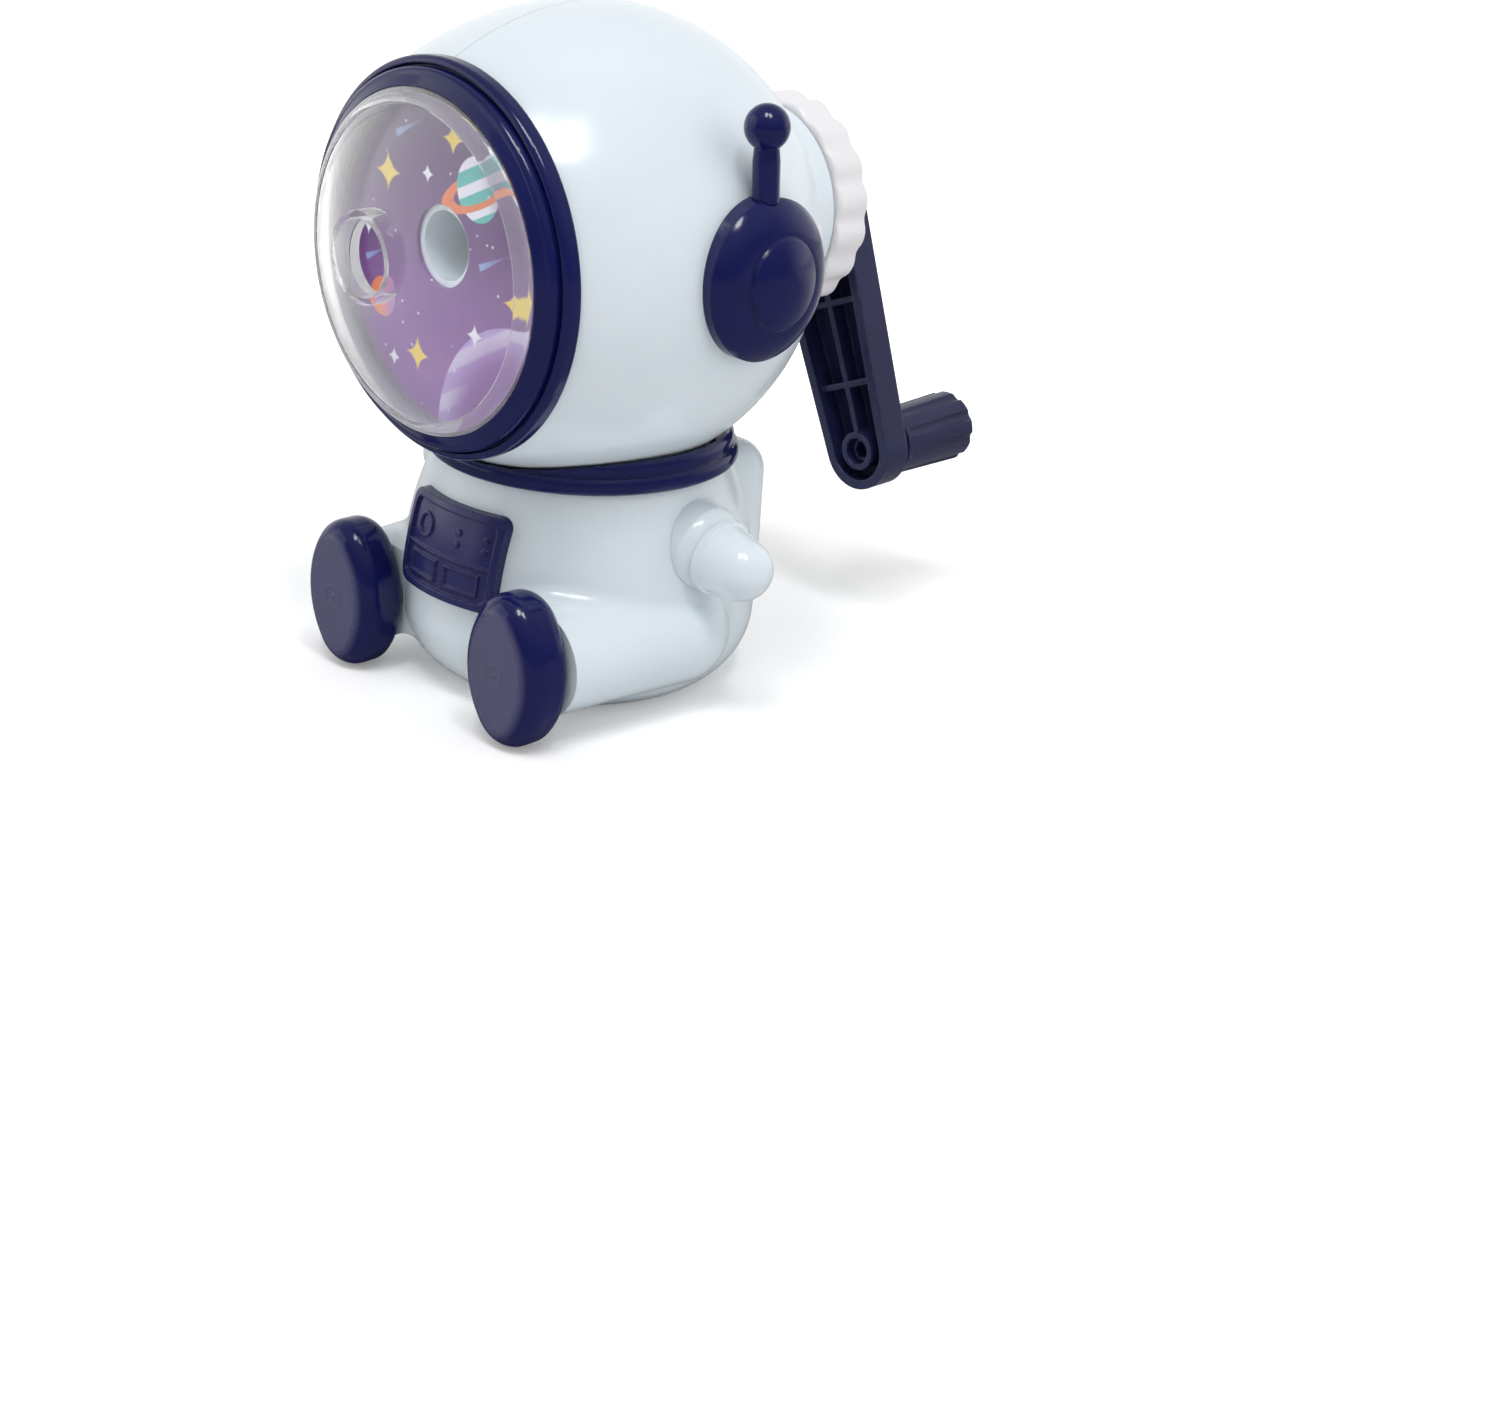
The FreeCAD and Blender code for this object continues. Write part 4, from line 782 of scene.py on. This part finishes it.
class Palette:
    """Every finish, made once."""

    def __init__(self, card_height: float, sole: float) -> None:
        """Write the materials.

        Args:
            card_height: Height of the middle of the card's print.
            sole: Depth along Y of the plane of the soles.
        """
        mint = MouldedPlastic((0.71, 0.78, 0.825), (0.68, 0.755, 0.80), 0.19, hairlines=0.03)
        navy = MouldedPlastic((0.0068, 0.0088, 0.080), (0.0056, 0.0070, 0.064), 0.13, edge_wear_and_highlight=0.12)
        navy = replace(navy, hairlines=0.08, gloss=0.4)
        # Lighter copy of the navy for the panel: satin plastic, with its lighter colour standing for
        # painted sheen.
        panel = MouldedPlastic((0.0180, 0.0178, 0.108), (0.0150, 0.0148, 0.092), 0.22, edge_wear_and_highlight=0.15)
        crank = MouldedPlastic((0.014, 0.0155, 0.066), (0.011, 0.012, 0.052), 0.3, edge_wear_and_highlight=0.2)
        white = MouldedPlastic((0.80, 0.785, 0.80), (0.75, 0.735, 0.755), 0.3, hairlines=0.05)
        recipes: dict[Finish, Recipe] = {
            Finish.MINT: replace(mint, edge=0.15 * MM, flecks=0.25, gloss=0.6),
            Finish.NAVY: navy,
            Finish.SOLE: replace(navy, satin_painted_sheen_face=sole),
            Finish.PANEL: replace(panel, hairlines=0.08),
            Finish.CRANK: crank,
            Finish.CLEAR: ClearPlastic(),
            Finish.CARD: PrintedCard(card_height),
            Finish.WHITE: white,
            Finish.BLACK: MouldedPlastic((0.012, 0.012, 0.014), (0.02, 0.02, 0.022), 0.42),
            Finish.GEAR: MouldedPlastic((0.62, 0.62, 0.57), (0.54, 0.54, 0.50), 0.38),
            Finish.STEEL: MachinedMetal((0.58, 0.58, 0.60), (0.38, 0.37, 0.36), 0.2),
            Finish.CUTTER: MachinedMetal((0.20, 0.20, 0.22), (0.09, 0.085, 0.085), 0.3),
        }
        self.materials = {kind: recipe.make(kind.material) for kind, recipe in recipes.items()}

    def __getitem__(self, finish: Finish) -> bpy.types.Material:
        """The material of a finish."""
        return self.materials[finish]


@dataclass
class Workshop:
    """The loaded frame and the palette, with what every sub-assembly does to its pieces."""

    frame: dict[str, Any]
    palette: Palette

    def dress(self, finish: Finish, *nodes: str) -> None:
        """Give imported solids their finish.

        Args:
            finish: The finish.
            nodes: The solids' names.
        """
        for name in nodes:
            for slot in self.frame["nodes"][name].material_slots:
                slot.material = self.palette[finish]
            log.info("%s: %s", name, finish.slot)

    def piece(
        self, name: str, mesh: bmesh.types.BMesh, place: Sequence[float], body: str, finish: Finish
    ) -> bpy.types.Object:
        """Turn a finished bmesh into a piece that rides on a body.

        Args:
            name: The piece's name.
            mesh: Its mesh, which is freed.
            place: Where the mesh's own origin goes.
            body: The body that carries it.
            finish: Its finish.

        Returns:
            The new object.
        """
        bmesh.ops.translate(mesh, verts=mesh.verts, vec=place)
        bmesh.ops.remove_doubles(mesh, verts=mesh.verts, dist=WELD)
        bmesh.ops.recalc_face_normals(mesh, faces=mesh.faces)
        data = bpy.data.meshes.new(name)
        mesh.to_mesh(data)
        mesh.free()
        made = bpy.data.objects.new(name, data)
        bpy.context.scene.collection.objects.link(made)
        data.materials.append(self.palette[finish])
        data.shade_smooth()
        data.set_sharp_from_angle(angle=SHARP_ANGLE)
        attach(made, body)
        log.info("%s rides on %s: %s", name, body, finish.slot)
        return made


def turn_about_y(
    mesh: bmesh.types.BMesh, points: Sequence[Point], closed: bool, steps: int
) -> None:
    """Draw a profile in X and Y and spin it once round the Y axis.

    Args:
        mesh: Where the turned form goes.
        points: (radius, depth) of the profile's corners.
        closed: Whether its last corner joins the first.
        steps: How many facets go round.
    """
    verts = [mesh.verts.new((radius, depth, 0.0)) for radius, depth in points]
    ends = verts[1:] + (verts[:1] if closed else [])
    edges = [mesh.edges.new(pair) for pair in zip(verts, ends)]
    bmesh.ops.spin(
        mesh,
        geom=verts + edges,
        cent=(0, 0, 0),
        axis=(0, 1, 0),
        dvec=(0, 0, 0),
        angle=math.tau,
        steps=steps,
        use_merge=True,
    )


def middle_of(low: Vector, high: Vector, depth: float = 0.0) -> Vector:
    """Middle of a box across X and Z, at a depth along Y."""
    return Vector(((low.x + high.x) / 2, depth, (low.z + high.z) / 2))


@dataclass
class Assembly:
    """A sub-assembly, which makes its small details and dresses its solids."""

    shop: Workshop

    def build(self) -> None:
        """Make the small details, if there are any."""

    def dress(self) -> None:
        """Give the solids their finishes."""
        raise NotImplementedError


@dataclass
class Body(Assembly):
    """Torso, collar, panel, arms and feet."""

    mark_radius: float = 1.7 * MM
    mark_band: float = 0.35 * MM
    mark_rise: float = 0.04 * MM
    mark_facets: int = 48
    nub_radius: float = 0.45 * MM
    nub_facets: int = 24
    root_depth: float = 0.1 * MM

    def build(self) -> None:
        """Make the moulding marks in the middle of both soles."""
        for node in ("left_foot", "right_foot"):
            low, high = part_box(node)
            self._sole_mark(f"{node}_mark", middle_of(low, high, low.y))

    def _sole_mark(self, name: str, middle: Vector) -> None:
        """A low ring and a nub that the mould's gate leaves on a sole.

        Args:
            name: The piece's name.
            middle: The point on the sole.
        """
        mesh = bmesh.new()
        root, rise, nub = self.root_depth, self.mark_rise, self.nub_radius
        outside, inside = self.mark_radius, self.mark_radius - self.mark_band
        ring = [
            (inside, root), (outside, root), (outside, 0.0),
            (outside - rise, -rise), (inside + rise, -rise), (inside, 0.0),
        ]
        turn_about_y(mesh, ring, True, self.mark_facets)
        stub = [(0.0, root), (nub, root), (nub, 0.0), (nub - rise, -rise / 2), (0.0, -rise)]
        turn_about_y(mesh, stub, False, self.nub_facets)
        self.shop.piece(name, mesh, middle, "body", Finish.SOLE)

    def dress(self) -> None:
        """Give the body's solids their finishes."""
        self.shop.dress(Finish.MINT, "torso_shell", "base_plate", "left_arm", "right_arm")
        self.shop.dress(Finish.NAVY, "neck_collar")
        self.shop.dress(Finish.PANEL, "chest_panel")
        self.shop.dress(Finish.SOLE, "left_foot", "right_foot")


@dataclass
class Head(Assembly):
    """Helmet halves, bezel, window, card, ear muffs and antenna.

    The bead's seat and crest run from its outer edge at 0 to its inner edge at 1, and the crest
    gives the share of the bead's height there.
    """

    bead_margin: float = 0.65 * MM
    bead_width: float = 1.9 * MM
    bead_height: float = 0.5 * MM
    bead_gap: float = 0.03 * MM
    bead_seat: tuple[float, ...] = (0.0, 0.25, 0.5, 0.75, 1.0)
    bead_crest: tuple[Point, ...] = (
        (0.97, 0.4), (0.88, 0.75), (0.6, 1.0),
        (0.35, 0.98), (0.15, 0.75), (0.03, 0.45),
    )
    bead_facets: int = 160
    dome_rise: float = 7.3 * MM
    guide_ring: float = 2.0 * MM

    def build(self) -> None:
        """Make the clear bead round the window's edge, on the dome and inside the bezel."""
        low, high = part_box("visor_card")
        outside = (high.x - low.x) / 2 - self.bead_margin
        ball = (outside**2 + self.dome_rise**2) / (2 * self.dome_rise)
        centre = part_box("visor_dome")[0].y + self.guide_ring + ball
        profile: list[Point] = []
        for share, rise in [(share, 0.0) for share in self.bead_seat] + list(self.bead_crest):
            radius = outside - self.bead_width * share
            seat = centre - math.sqrt(ball**2 - radius**2) - self.bead_gap
            profile.append((radius, seat - self.bead_height * rise))
        mesh = bmesh.new()
        turn_about_y(mesh, profile, True, self.bead_facets)
        middle = (0.0, 0.0, (low.z + high.z) / 2)
        self.shop.piece("visor_rim_bead", mesh, middle, "head", Finish.CLEAR)

    def dress(self) -> None:
        """Give the head's solids their finishes."""
        self.shop.dress(Finish.MINT, "helmet_left_shell", "helmet_right_shell")
        self.shop.dress(Finish.NAVY, "visor_bezel", "left_ear_muff", "right_ear_muff", "antenna")
        self.shop.dress(Finish.CLEAR, "visor_dome")
        self.shop.dress(Finish.CARD, "visor_card")
        self.shop.dress(Finish.GEAR, "ring_gear")


@dataclass
class LockRing(Assembly):
    """White ring with a softly lobed rim, between helmet and crank."""

    lobes: int = 18
    lobe_depth: float = 0.6 * MM
    lobe_steps: int = 8
    lobe_power: float = 1.5
    rim_round: float = 0.5 * MM
    rim_steps: int = 4
    hole: float = 6.6 * MM
    bore: float = 9.8 * MM
    web: float = 2.4 * MM

    def build(self) -> None:
        """Turn the ring, then draw its rim in between the lobes."""
        low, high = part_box("lock_ring")
        radius, shelf = (high.z - low.z) / 2, high.y - self.web
        profile = self._rim(radius, low.y, high.y)
        profile += [(self.hole, high.y), (self.hole, shelf), (self.bore, shelf), (self.bore, low.y)]
        mesh = bmesh.new()
        turn_about_y(mesh, profile, True, self.lobes * self.lobe_steps)
        bmesh.ops.remove_doubles(mesh, verts=mesh.verts, dist=WELD)
        for step in range(self.lobe_steps):
            wave = 0.5 - 0.5 * math.cos(math.tau * step / self.lobe_steps)
            draw = 1.0 - self.lobe_depth * wave**self.lobe_power / radius
            row = [vert for vert in mesh.verts if self._row(vert) == step]
            bmesh.ops.scale(mesh, verts=row, vec=(draw, 1.0, draw))
        middle = (0.0, 0.0, (low.z + high.z) / 2)
        made = self.shop.piece("lock_ring_lobed", mesh, middle, "lock_ring_body", Finish.WHITE)
        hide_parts("lock_ring")

    def _rim(self, radius: float, front: float, back: float) -> list[Point]:
        """Rim's profile with its two rounded edges.

        Args:
            radius: Radius over the lobes.
            front: The front face along Y.
            back: The back face along Y.

        Returns:
            (radius, depth) from the front face to the back face.
        """
        soft = self.rim_round
        turns = [math.pi / 2 * step / self.rim_steps for step in range(self.rim_steps + 1)]
        first = [
            (radius - soft + soft * math.sin(turn), front + soft - soft * math.cos(turn))
            for turn in turns
        ]
        return first + [(across, front + back - depth) for across, depth in reversed(first)]

    def _row(self, vert: bmesh.types.BMVert) -> int:
        """Step within its lobe that a rim vertex stands on.

        Args:
            vert: A vertex of the turned ring.

        Returns:
            0 on a crest, half of the steps in a valley, and -1 away from the rim.
        """
        if math.hypot(vert.co.x, vert.co.z) < self.bore + self.rim_round:
            return -1
        turn = math.atan2(vert.co.x, vert.co.z) / math.tau
        return round(turn * self.lobes * self.lobe_steps) % self.lobe_steps

    def dress(self) -> None:
        """Give the ring's solid its finish."""
        self.shop.dress(Finish.WHITE, "lock_ring")


@dataclass
class Crank(Assembly):
    """Crank arm with its shaft, screw, pin and knob.

    The screw head's profile is in shares of its radius and of its height above the seat.
    """

    head_height: float = 1.6 * MM
    head_profile: tuple[Point, ...] = (
        (0.97, 0.0), (1.0, 0.09375), (1.0, 0.45),
        (0.93, 0.72), (0.8, 0.9), (0.62, 1.0),
    )
    shank_share: float = 0.42
    tip_share: float = 0.8
    tip_length: float = 0.3 * MM
    slot_reach: float = 1.3 * MM
    slot_half: float = 0.3 * MM
    slot_depth: float = 0.9 * MM
    chamfer_share: float = 0.12
    socket_sides: int = 6
    socket_turn: float = 0.25
    socket_reach: float = 1.35 * MM
    socket_depth: float = 2.2 * MM
    recess_taper: float = 0.85
    facets: int = 48

    def build(self) -> None:
        """Make the screw with its cross recess and the pin with its six-sided socket."""
        self._screw()
        self._pin()

    def _screw(self) -> None:
        """Pan-head screw that holds the arm on the shaft."""
        low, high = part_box("crank_screw")
        head = (high.x - low.x) / 2
        seat = high.y - self.head_height
        shank = head * self.shank_share
        profile = [
            (0.0, low.y), (shank * self.tip_share, low.y),
            (shank, low.y + self.tip_length), (shank, seat),
        ]
        profile += [(head * x, seat + self.head_height * y) for x, y in self.head_profile]
        mesh = bmesh.new()
        turn_about_y(mesh, profile, False, self.facets)
        reach, half = self.slot_reach, self.slot_half
        cross = [(reach, -half), (reach, half), (half, half)]
        cross += [(half, reach), (-half, reach), (-half, half)]
        cross += [(-x, -z) for x, z in cross]
        self._recess(mesh, high.y, cross, -self.slot_depth)
        middle = middle_of(low, high)
        made = self.shop.piece("crank_screw_cross", mesh, middle, "crank", Finish.STEEL)
        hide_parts("crank_screw")

    def _pin(self) -> None:
        """Pin that the knob turns on, with a socket in the end that shows in the arm's channel."""
        low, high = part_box("knob_pin")
        radius = (high.x - low.x) / 2
        chamfer = radius * self.chamfer_share
        profile = [
            (0.0, high.y), (radius - chamfer, high.y), (radius, high.y - chamfer),
            (radius, low.y + chamfer), (radius - chamfer, low.y),
        ]
        mesh = bmesh.new()
        turn_about_y(mesh, profile, False, self.facets)
        steps = range(self.socket_sides)
        turns = [math.tau * (step + self.socket_turn) / self.socket_sides for step in steps]
        reach = self.socket_reach
        hexagon = [(reach * math.cos(turn), reach * math.sin(turn)) for turn in turns]
        self._recess(mesh, low.y, hexagon, self.socket_depth)
        middle = middle_of(low, high)
        made = self.shop.piece("knob_pin_socket", mesh, middle, "crank", Finish.CRANK)
        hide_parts("knob_pin")

    def _recess(
        self, mesh: bmesh.types.BMesh, top: float, corners: Sequence[Point], sink: float
    ) -> None:
        """Close a turned form's open end round a recess and sink the recess.

        Args:
            mesh: The turned form, open at one end.
            top: Where its open end is along Y.
            corners: (x, z) of the recess.
            sink: How far along Y the bottom of the recess moves.
        """
        bmesh.ops.remove_doubles(mesh, verts=mesh.verts, dist=WELD)
        rim = [edge for edge in mesh.edges if edge.is_boundary]
        face = mesh.faces.new([mesh.verts.new((x, top, z)) for x, z in corners])
        edges = rim + list(face.edges)
        bmesh.ops.triangle_fill(mesh, use_beauty=True, edges=edges, normal=(0, 1, 0))
        sunk = bmesh.ops.extrude_discrete_faces(mesh, faces=[face])["faces"][0]
        bmesh.ops.translate(mesh, verts=sunk.verts, vec=(0, sink, 0))
        taper = (self.recess_taper, 1.0, self.recess_taper)
        bmesh.ops.scale(mesh, verts=sunk.verts, vec=taper)

    def dress(self) -> None:
        """Give the crank's solids their finishes."""
        self.shop.dress(Finish.CRANK, "crank_arm", "crank_knob", "knob_pin")
        self.shop.dress(Finish.STEEL, "drive_shaft", "crank_screw")


@dataclass
class CuttingHead(Assembly):
    """Carrier with its leaning cutter."""

    def dress(self) -> None:
        """Give the cutting head's solids their finishes."""
        self.shop.dress(Finish.BLACK, "cutter_carrier")
        self.shop.dress(Finish.STEEL, "cutter_axle")
        self.shop.dress(Finish.CUTTER, "helical_cutter")
        self.shop.dress(Finish.GEAR, "cutter_pinion")


@dataclass(frozen=True)
class Lamp:
    """A soft box: where it stands, its size, power and warmth, and whether gloss mirrors it."""

    name: str
    place: Place
    wide: float
    tall: float
    power: float
    colour: Colour = (1.0, 1.0, 1.0)
    mirrored: bool = True

    def build(self, aim: Vector) -> None:
        """Hang the lamp.

        Args:
            aim: The point that it is turned towards.
        """
        data = bpy.data.lights.new(self.name, "AREA")
        data.shape = "RECTANGLE"
        data.size, data.size_y = self.wide, self.tall
        data.energy = self.power
        data.color = self.colour
        made = bpy.data.objects.new(self.name, data)
        made.visible_glossy = self.mirrored
        made.location = self.place
        made.rotation_euler = (aim - Vector(self.place)).to_track_quat("-Z", "Y").to_euler()
        bpy.context.scene.collection.objects.link(made)


@dataclass(frozen=True)
class PhotoCamera:
    """The photograph's camera, fitted to the object's outlines; its angles are in degrees."""

    azimuth: float = 47.12
    elevation: float = 13.33
    distance: float = 0.29403
    roll: float = 4.26
    target: Place = (0.0, 0.0, 0.055)
    target_pixel: Point = (556.07, 293.49)
    image: Point = (1500.0, 1427.0)
    focal_pixels: float = 2107.0
    sensor_mm: float = 36.0
    nearest: float = 0.01

    def build(self) -> None:
        """Place the camera so that its target falls on the target pixel."""
        around, above = math.radians(self.azimuth), math.radians(self.elevation)
        back = Vector((
            math.sin(around) * math.cos(above),
            -math.cos(around) * math.cos(above),
            math.sin(above),
        ))
        axes = back.to_track_quat("Z", "Y").to_matrix()
        yaw = math.atan((self.target_pixel[0] - self.image[0] / 2) / self.focal_pixels)
        pitch = math.atan((self.target_pixel[1] - self.image[1] / 2) / self.focal_pixels)
        axes = Matrix.Rotation(yaw, 3, (0, 0, 1)) @ axes
        axes = Matrix.Rotation(pitch, 3, axes.col[0]) @ axes
        axes = Matrix.Rotation(math.radians(self.roll), 3, axes.col[2]) @ axes
        data = bpy.data.cameras.new("photo_camera")
        data.sensor_width = self.sensor_mm
        data.lens = self.focal_pixels / self.image[0] * self.sensor_mm
        data.clip_start = self.nearest
        camera = bpy.data.objects.new("photo_camera", data)
        stand = Matrix.Translation(Vector(self.target) + back * self.distance)
        camera.matrix_world = stand @ axes.to_4x4()
        bpy.context.scene.collection.objects.link(camera)
        bpy.context.scene.camera = camera


@dataclass(frozen=True)
class Studio:
    """Pale floor, white backdrop behind the object, a dim room in front of it and soft lamps.

    The ranges named for the floor are distances, and those named for the room are shares of a
    direction, over which one brightness turns into another.
    """

    floor_half: float = 4.0
    floor_cells: int = 8
    floor_white: float = 0.86
    floor_stain: float = 0.02
    floor_stain_scale: float = 90.0
    floor_mirrored: float = 0.25
    floor_mirrored_range: Point = (0.0, 0.22)
    floor_glow: float = 0.20
    far_glow: float = 0.85
    floor_glow_range: Point = (0.05, 0.22)
    backdrop: Place = (-0.73, 0.68, 0.0)
    wall: float = 1.0
    room: float = 0.40
    room_range: Point = (-0.7, 0.3)
    ceiling: float = 0.60
    ceiling_range: Point = (0.05, 0.9)
    mirrored_room: float = 0.10
    mirrored_room_range: Point = (-0.2, 0.4)
    mirrored_ceiling: float = 0.42
    aim: Place = (0.0, 0.0, 0.05)
    lamps: tuple[Lamp, ...] = (
        Lamp("key_lamp_left", (0.15, -0.25, 0.78), 0.13, 0.24, 1.6, (0.985, 0.985, 1.0)),
        Lamp("key_lamp_right", (0.33, -0.13, 0.78), 0.13, 0.24, 1.6, (0.985, 0.985, 1.0)),
        Lamp("side_lamp", (-0.60, -0.70, 0.35), 0.80, 0.80, 1.5),
        Lamp("back_lamp", (0.72, 0.40, 0.28), 0.50, 0.50, 0.9, mirrored=False),
    )

    def build(self) -> None:
        """Set up the floor, the world, the lamps and the camera."""
        self._floor()
        self._world()
        for lamp in self.lamps:
            lamp.build(Vector(self.aim))
        PhotoCamera().build()
        bpy.context.scene.view_settings.view_transform = "Standard"

    def _floor(self) -> None:
        """Lay a pale floor that keeps the object's shadow and looks white to the camera."""
        mesh = bmesh.new()
        cells = self.floor_cells
        bmesh.ops.create_grid(mesh, x_segments=cells, y_segments=cells, size=self.floor_half)
        data = bpy.data.meshes.new("studio_floor")
        mesh.to_mesh(data)
        mesh.free()
        floor = bpy.data.objects.new("studio_floor", data)
        bpy.context.scene.collection.objects.link(floor)
        material, g = new_graph("studio_floor_finish")
        white = (self.floor_white,) * 3
        stain = g.noise(self.floor_stain_scale, 3.0) * self.floor_stain
        pale = g.mix(stain, white, (0.5, 0.5, 0.5))
        ray = g.node("ShaderNodeLightPath", output="Is Camera Ray")
        behind = g.ease(g.dot(g.point, self.backdrop), *self.floor_mirrored_range)
        shine = g.mix(behind, (self.floor_mirrored,) * 3, white)
        pale = g.mix(ray.out("Is Glossy Ray"), pale, shine)
        matte = g.node("ShaderNodeBsdfDiffuse", {}, {"Color": pale})
        seen = g.math("MAXIMUM", ray, ray.out("Is Transmission Ray"))
        away = g.ease(g.vector("LENGTH", g.point, output="Value"), *self.floor_glow_range)
        glow = seen * (away * (self.far_glow - self.floor_glow) + self.floor_glow)
        light = g.node("ShaderNodeEmission", {}, {"Color": (1.0, 1.0, 1.0), "Strength": glow})
        g.show(g.node("ShaderNodeAddShader", {}, {0: matte, 1: light}))
        data.materials.append(material)

    def _world(self) -> None:
        """Give plain soft light, and white to the camera, to clear plastic and as the backdrop."""
        world = bpy.data.worlds.new("studio_world")
        world.use_nodes = True
        bpy.context.scene.world = world
        g = Graph(world.node_tree)
        direction = g.node("ShaderNodeTexCoord", output="Generated")
        above = g.ease(g.axis("Z", direction), *self.ceiling_range)
        behind = g.dot(direction, self.backdrop)
        light = g.ease(behind, *self.room_range) * (self.wall - self.room) + self.room
        light = light + above * (self.ceiling - light)
        mirrored = g.ease(behind, *self.mirrored_room_range) * (1 - self.mirrored_room)
        mirrored = mirrored + self.mirrored_room
        mirrored = mirrored + above * (self.mirrored_ceiling - mirrored)
        ray = g.node("ShaderNodeLightPath", output="Is Camera Ray")
        seen = g.math("MAXIMUM", ray, ray.out("Is Transmission Ray"))
        strength = light + ray.out("Is Glossy Ray") * (mirrored - light)
        strength = strength + seen * (1 - strength)
        sockets = {"Color": (1.0, 1.0, 1.0), "Strength": strength}
        g.show(g.node("ShaderNodeBackground", {}, sockets), "ShaderNodeOutputWorld")


def corners(box: tuple[Vector, Vector]) -> list[list[float]]:
    """A box as plain lists of numbers."""
    return [[float(value) for value in corner] for corner in box]


def main() -> None:
    """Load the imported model, dress it, add its details and set the studio."""
    logging.basicConfig(level=logging.INFO, format="%(message)s")
    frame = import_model()
    low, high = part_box("visor_card")
    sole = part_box("left_foot")[0].y
    shop = Workshop(frame, Palette((low.z + high.z) / 2, sole))
    assemblies = [kind(shop) for kind in (Body, Head, LockRing, Crank, CuttingHead)]
    for assembly in assemblies:
        assembly.build()
    for assembly in assemblies:
        assembly.dress()
    Studio().build()


if __name__ == "__main__":
    main()
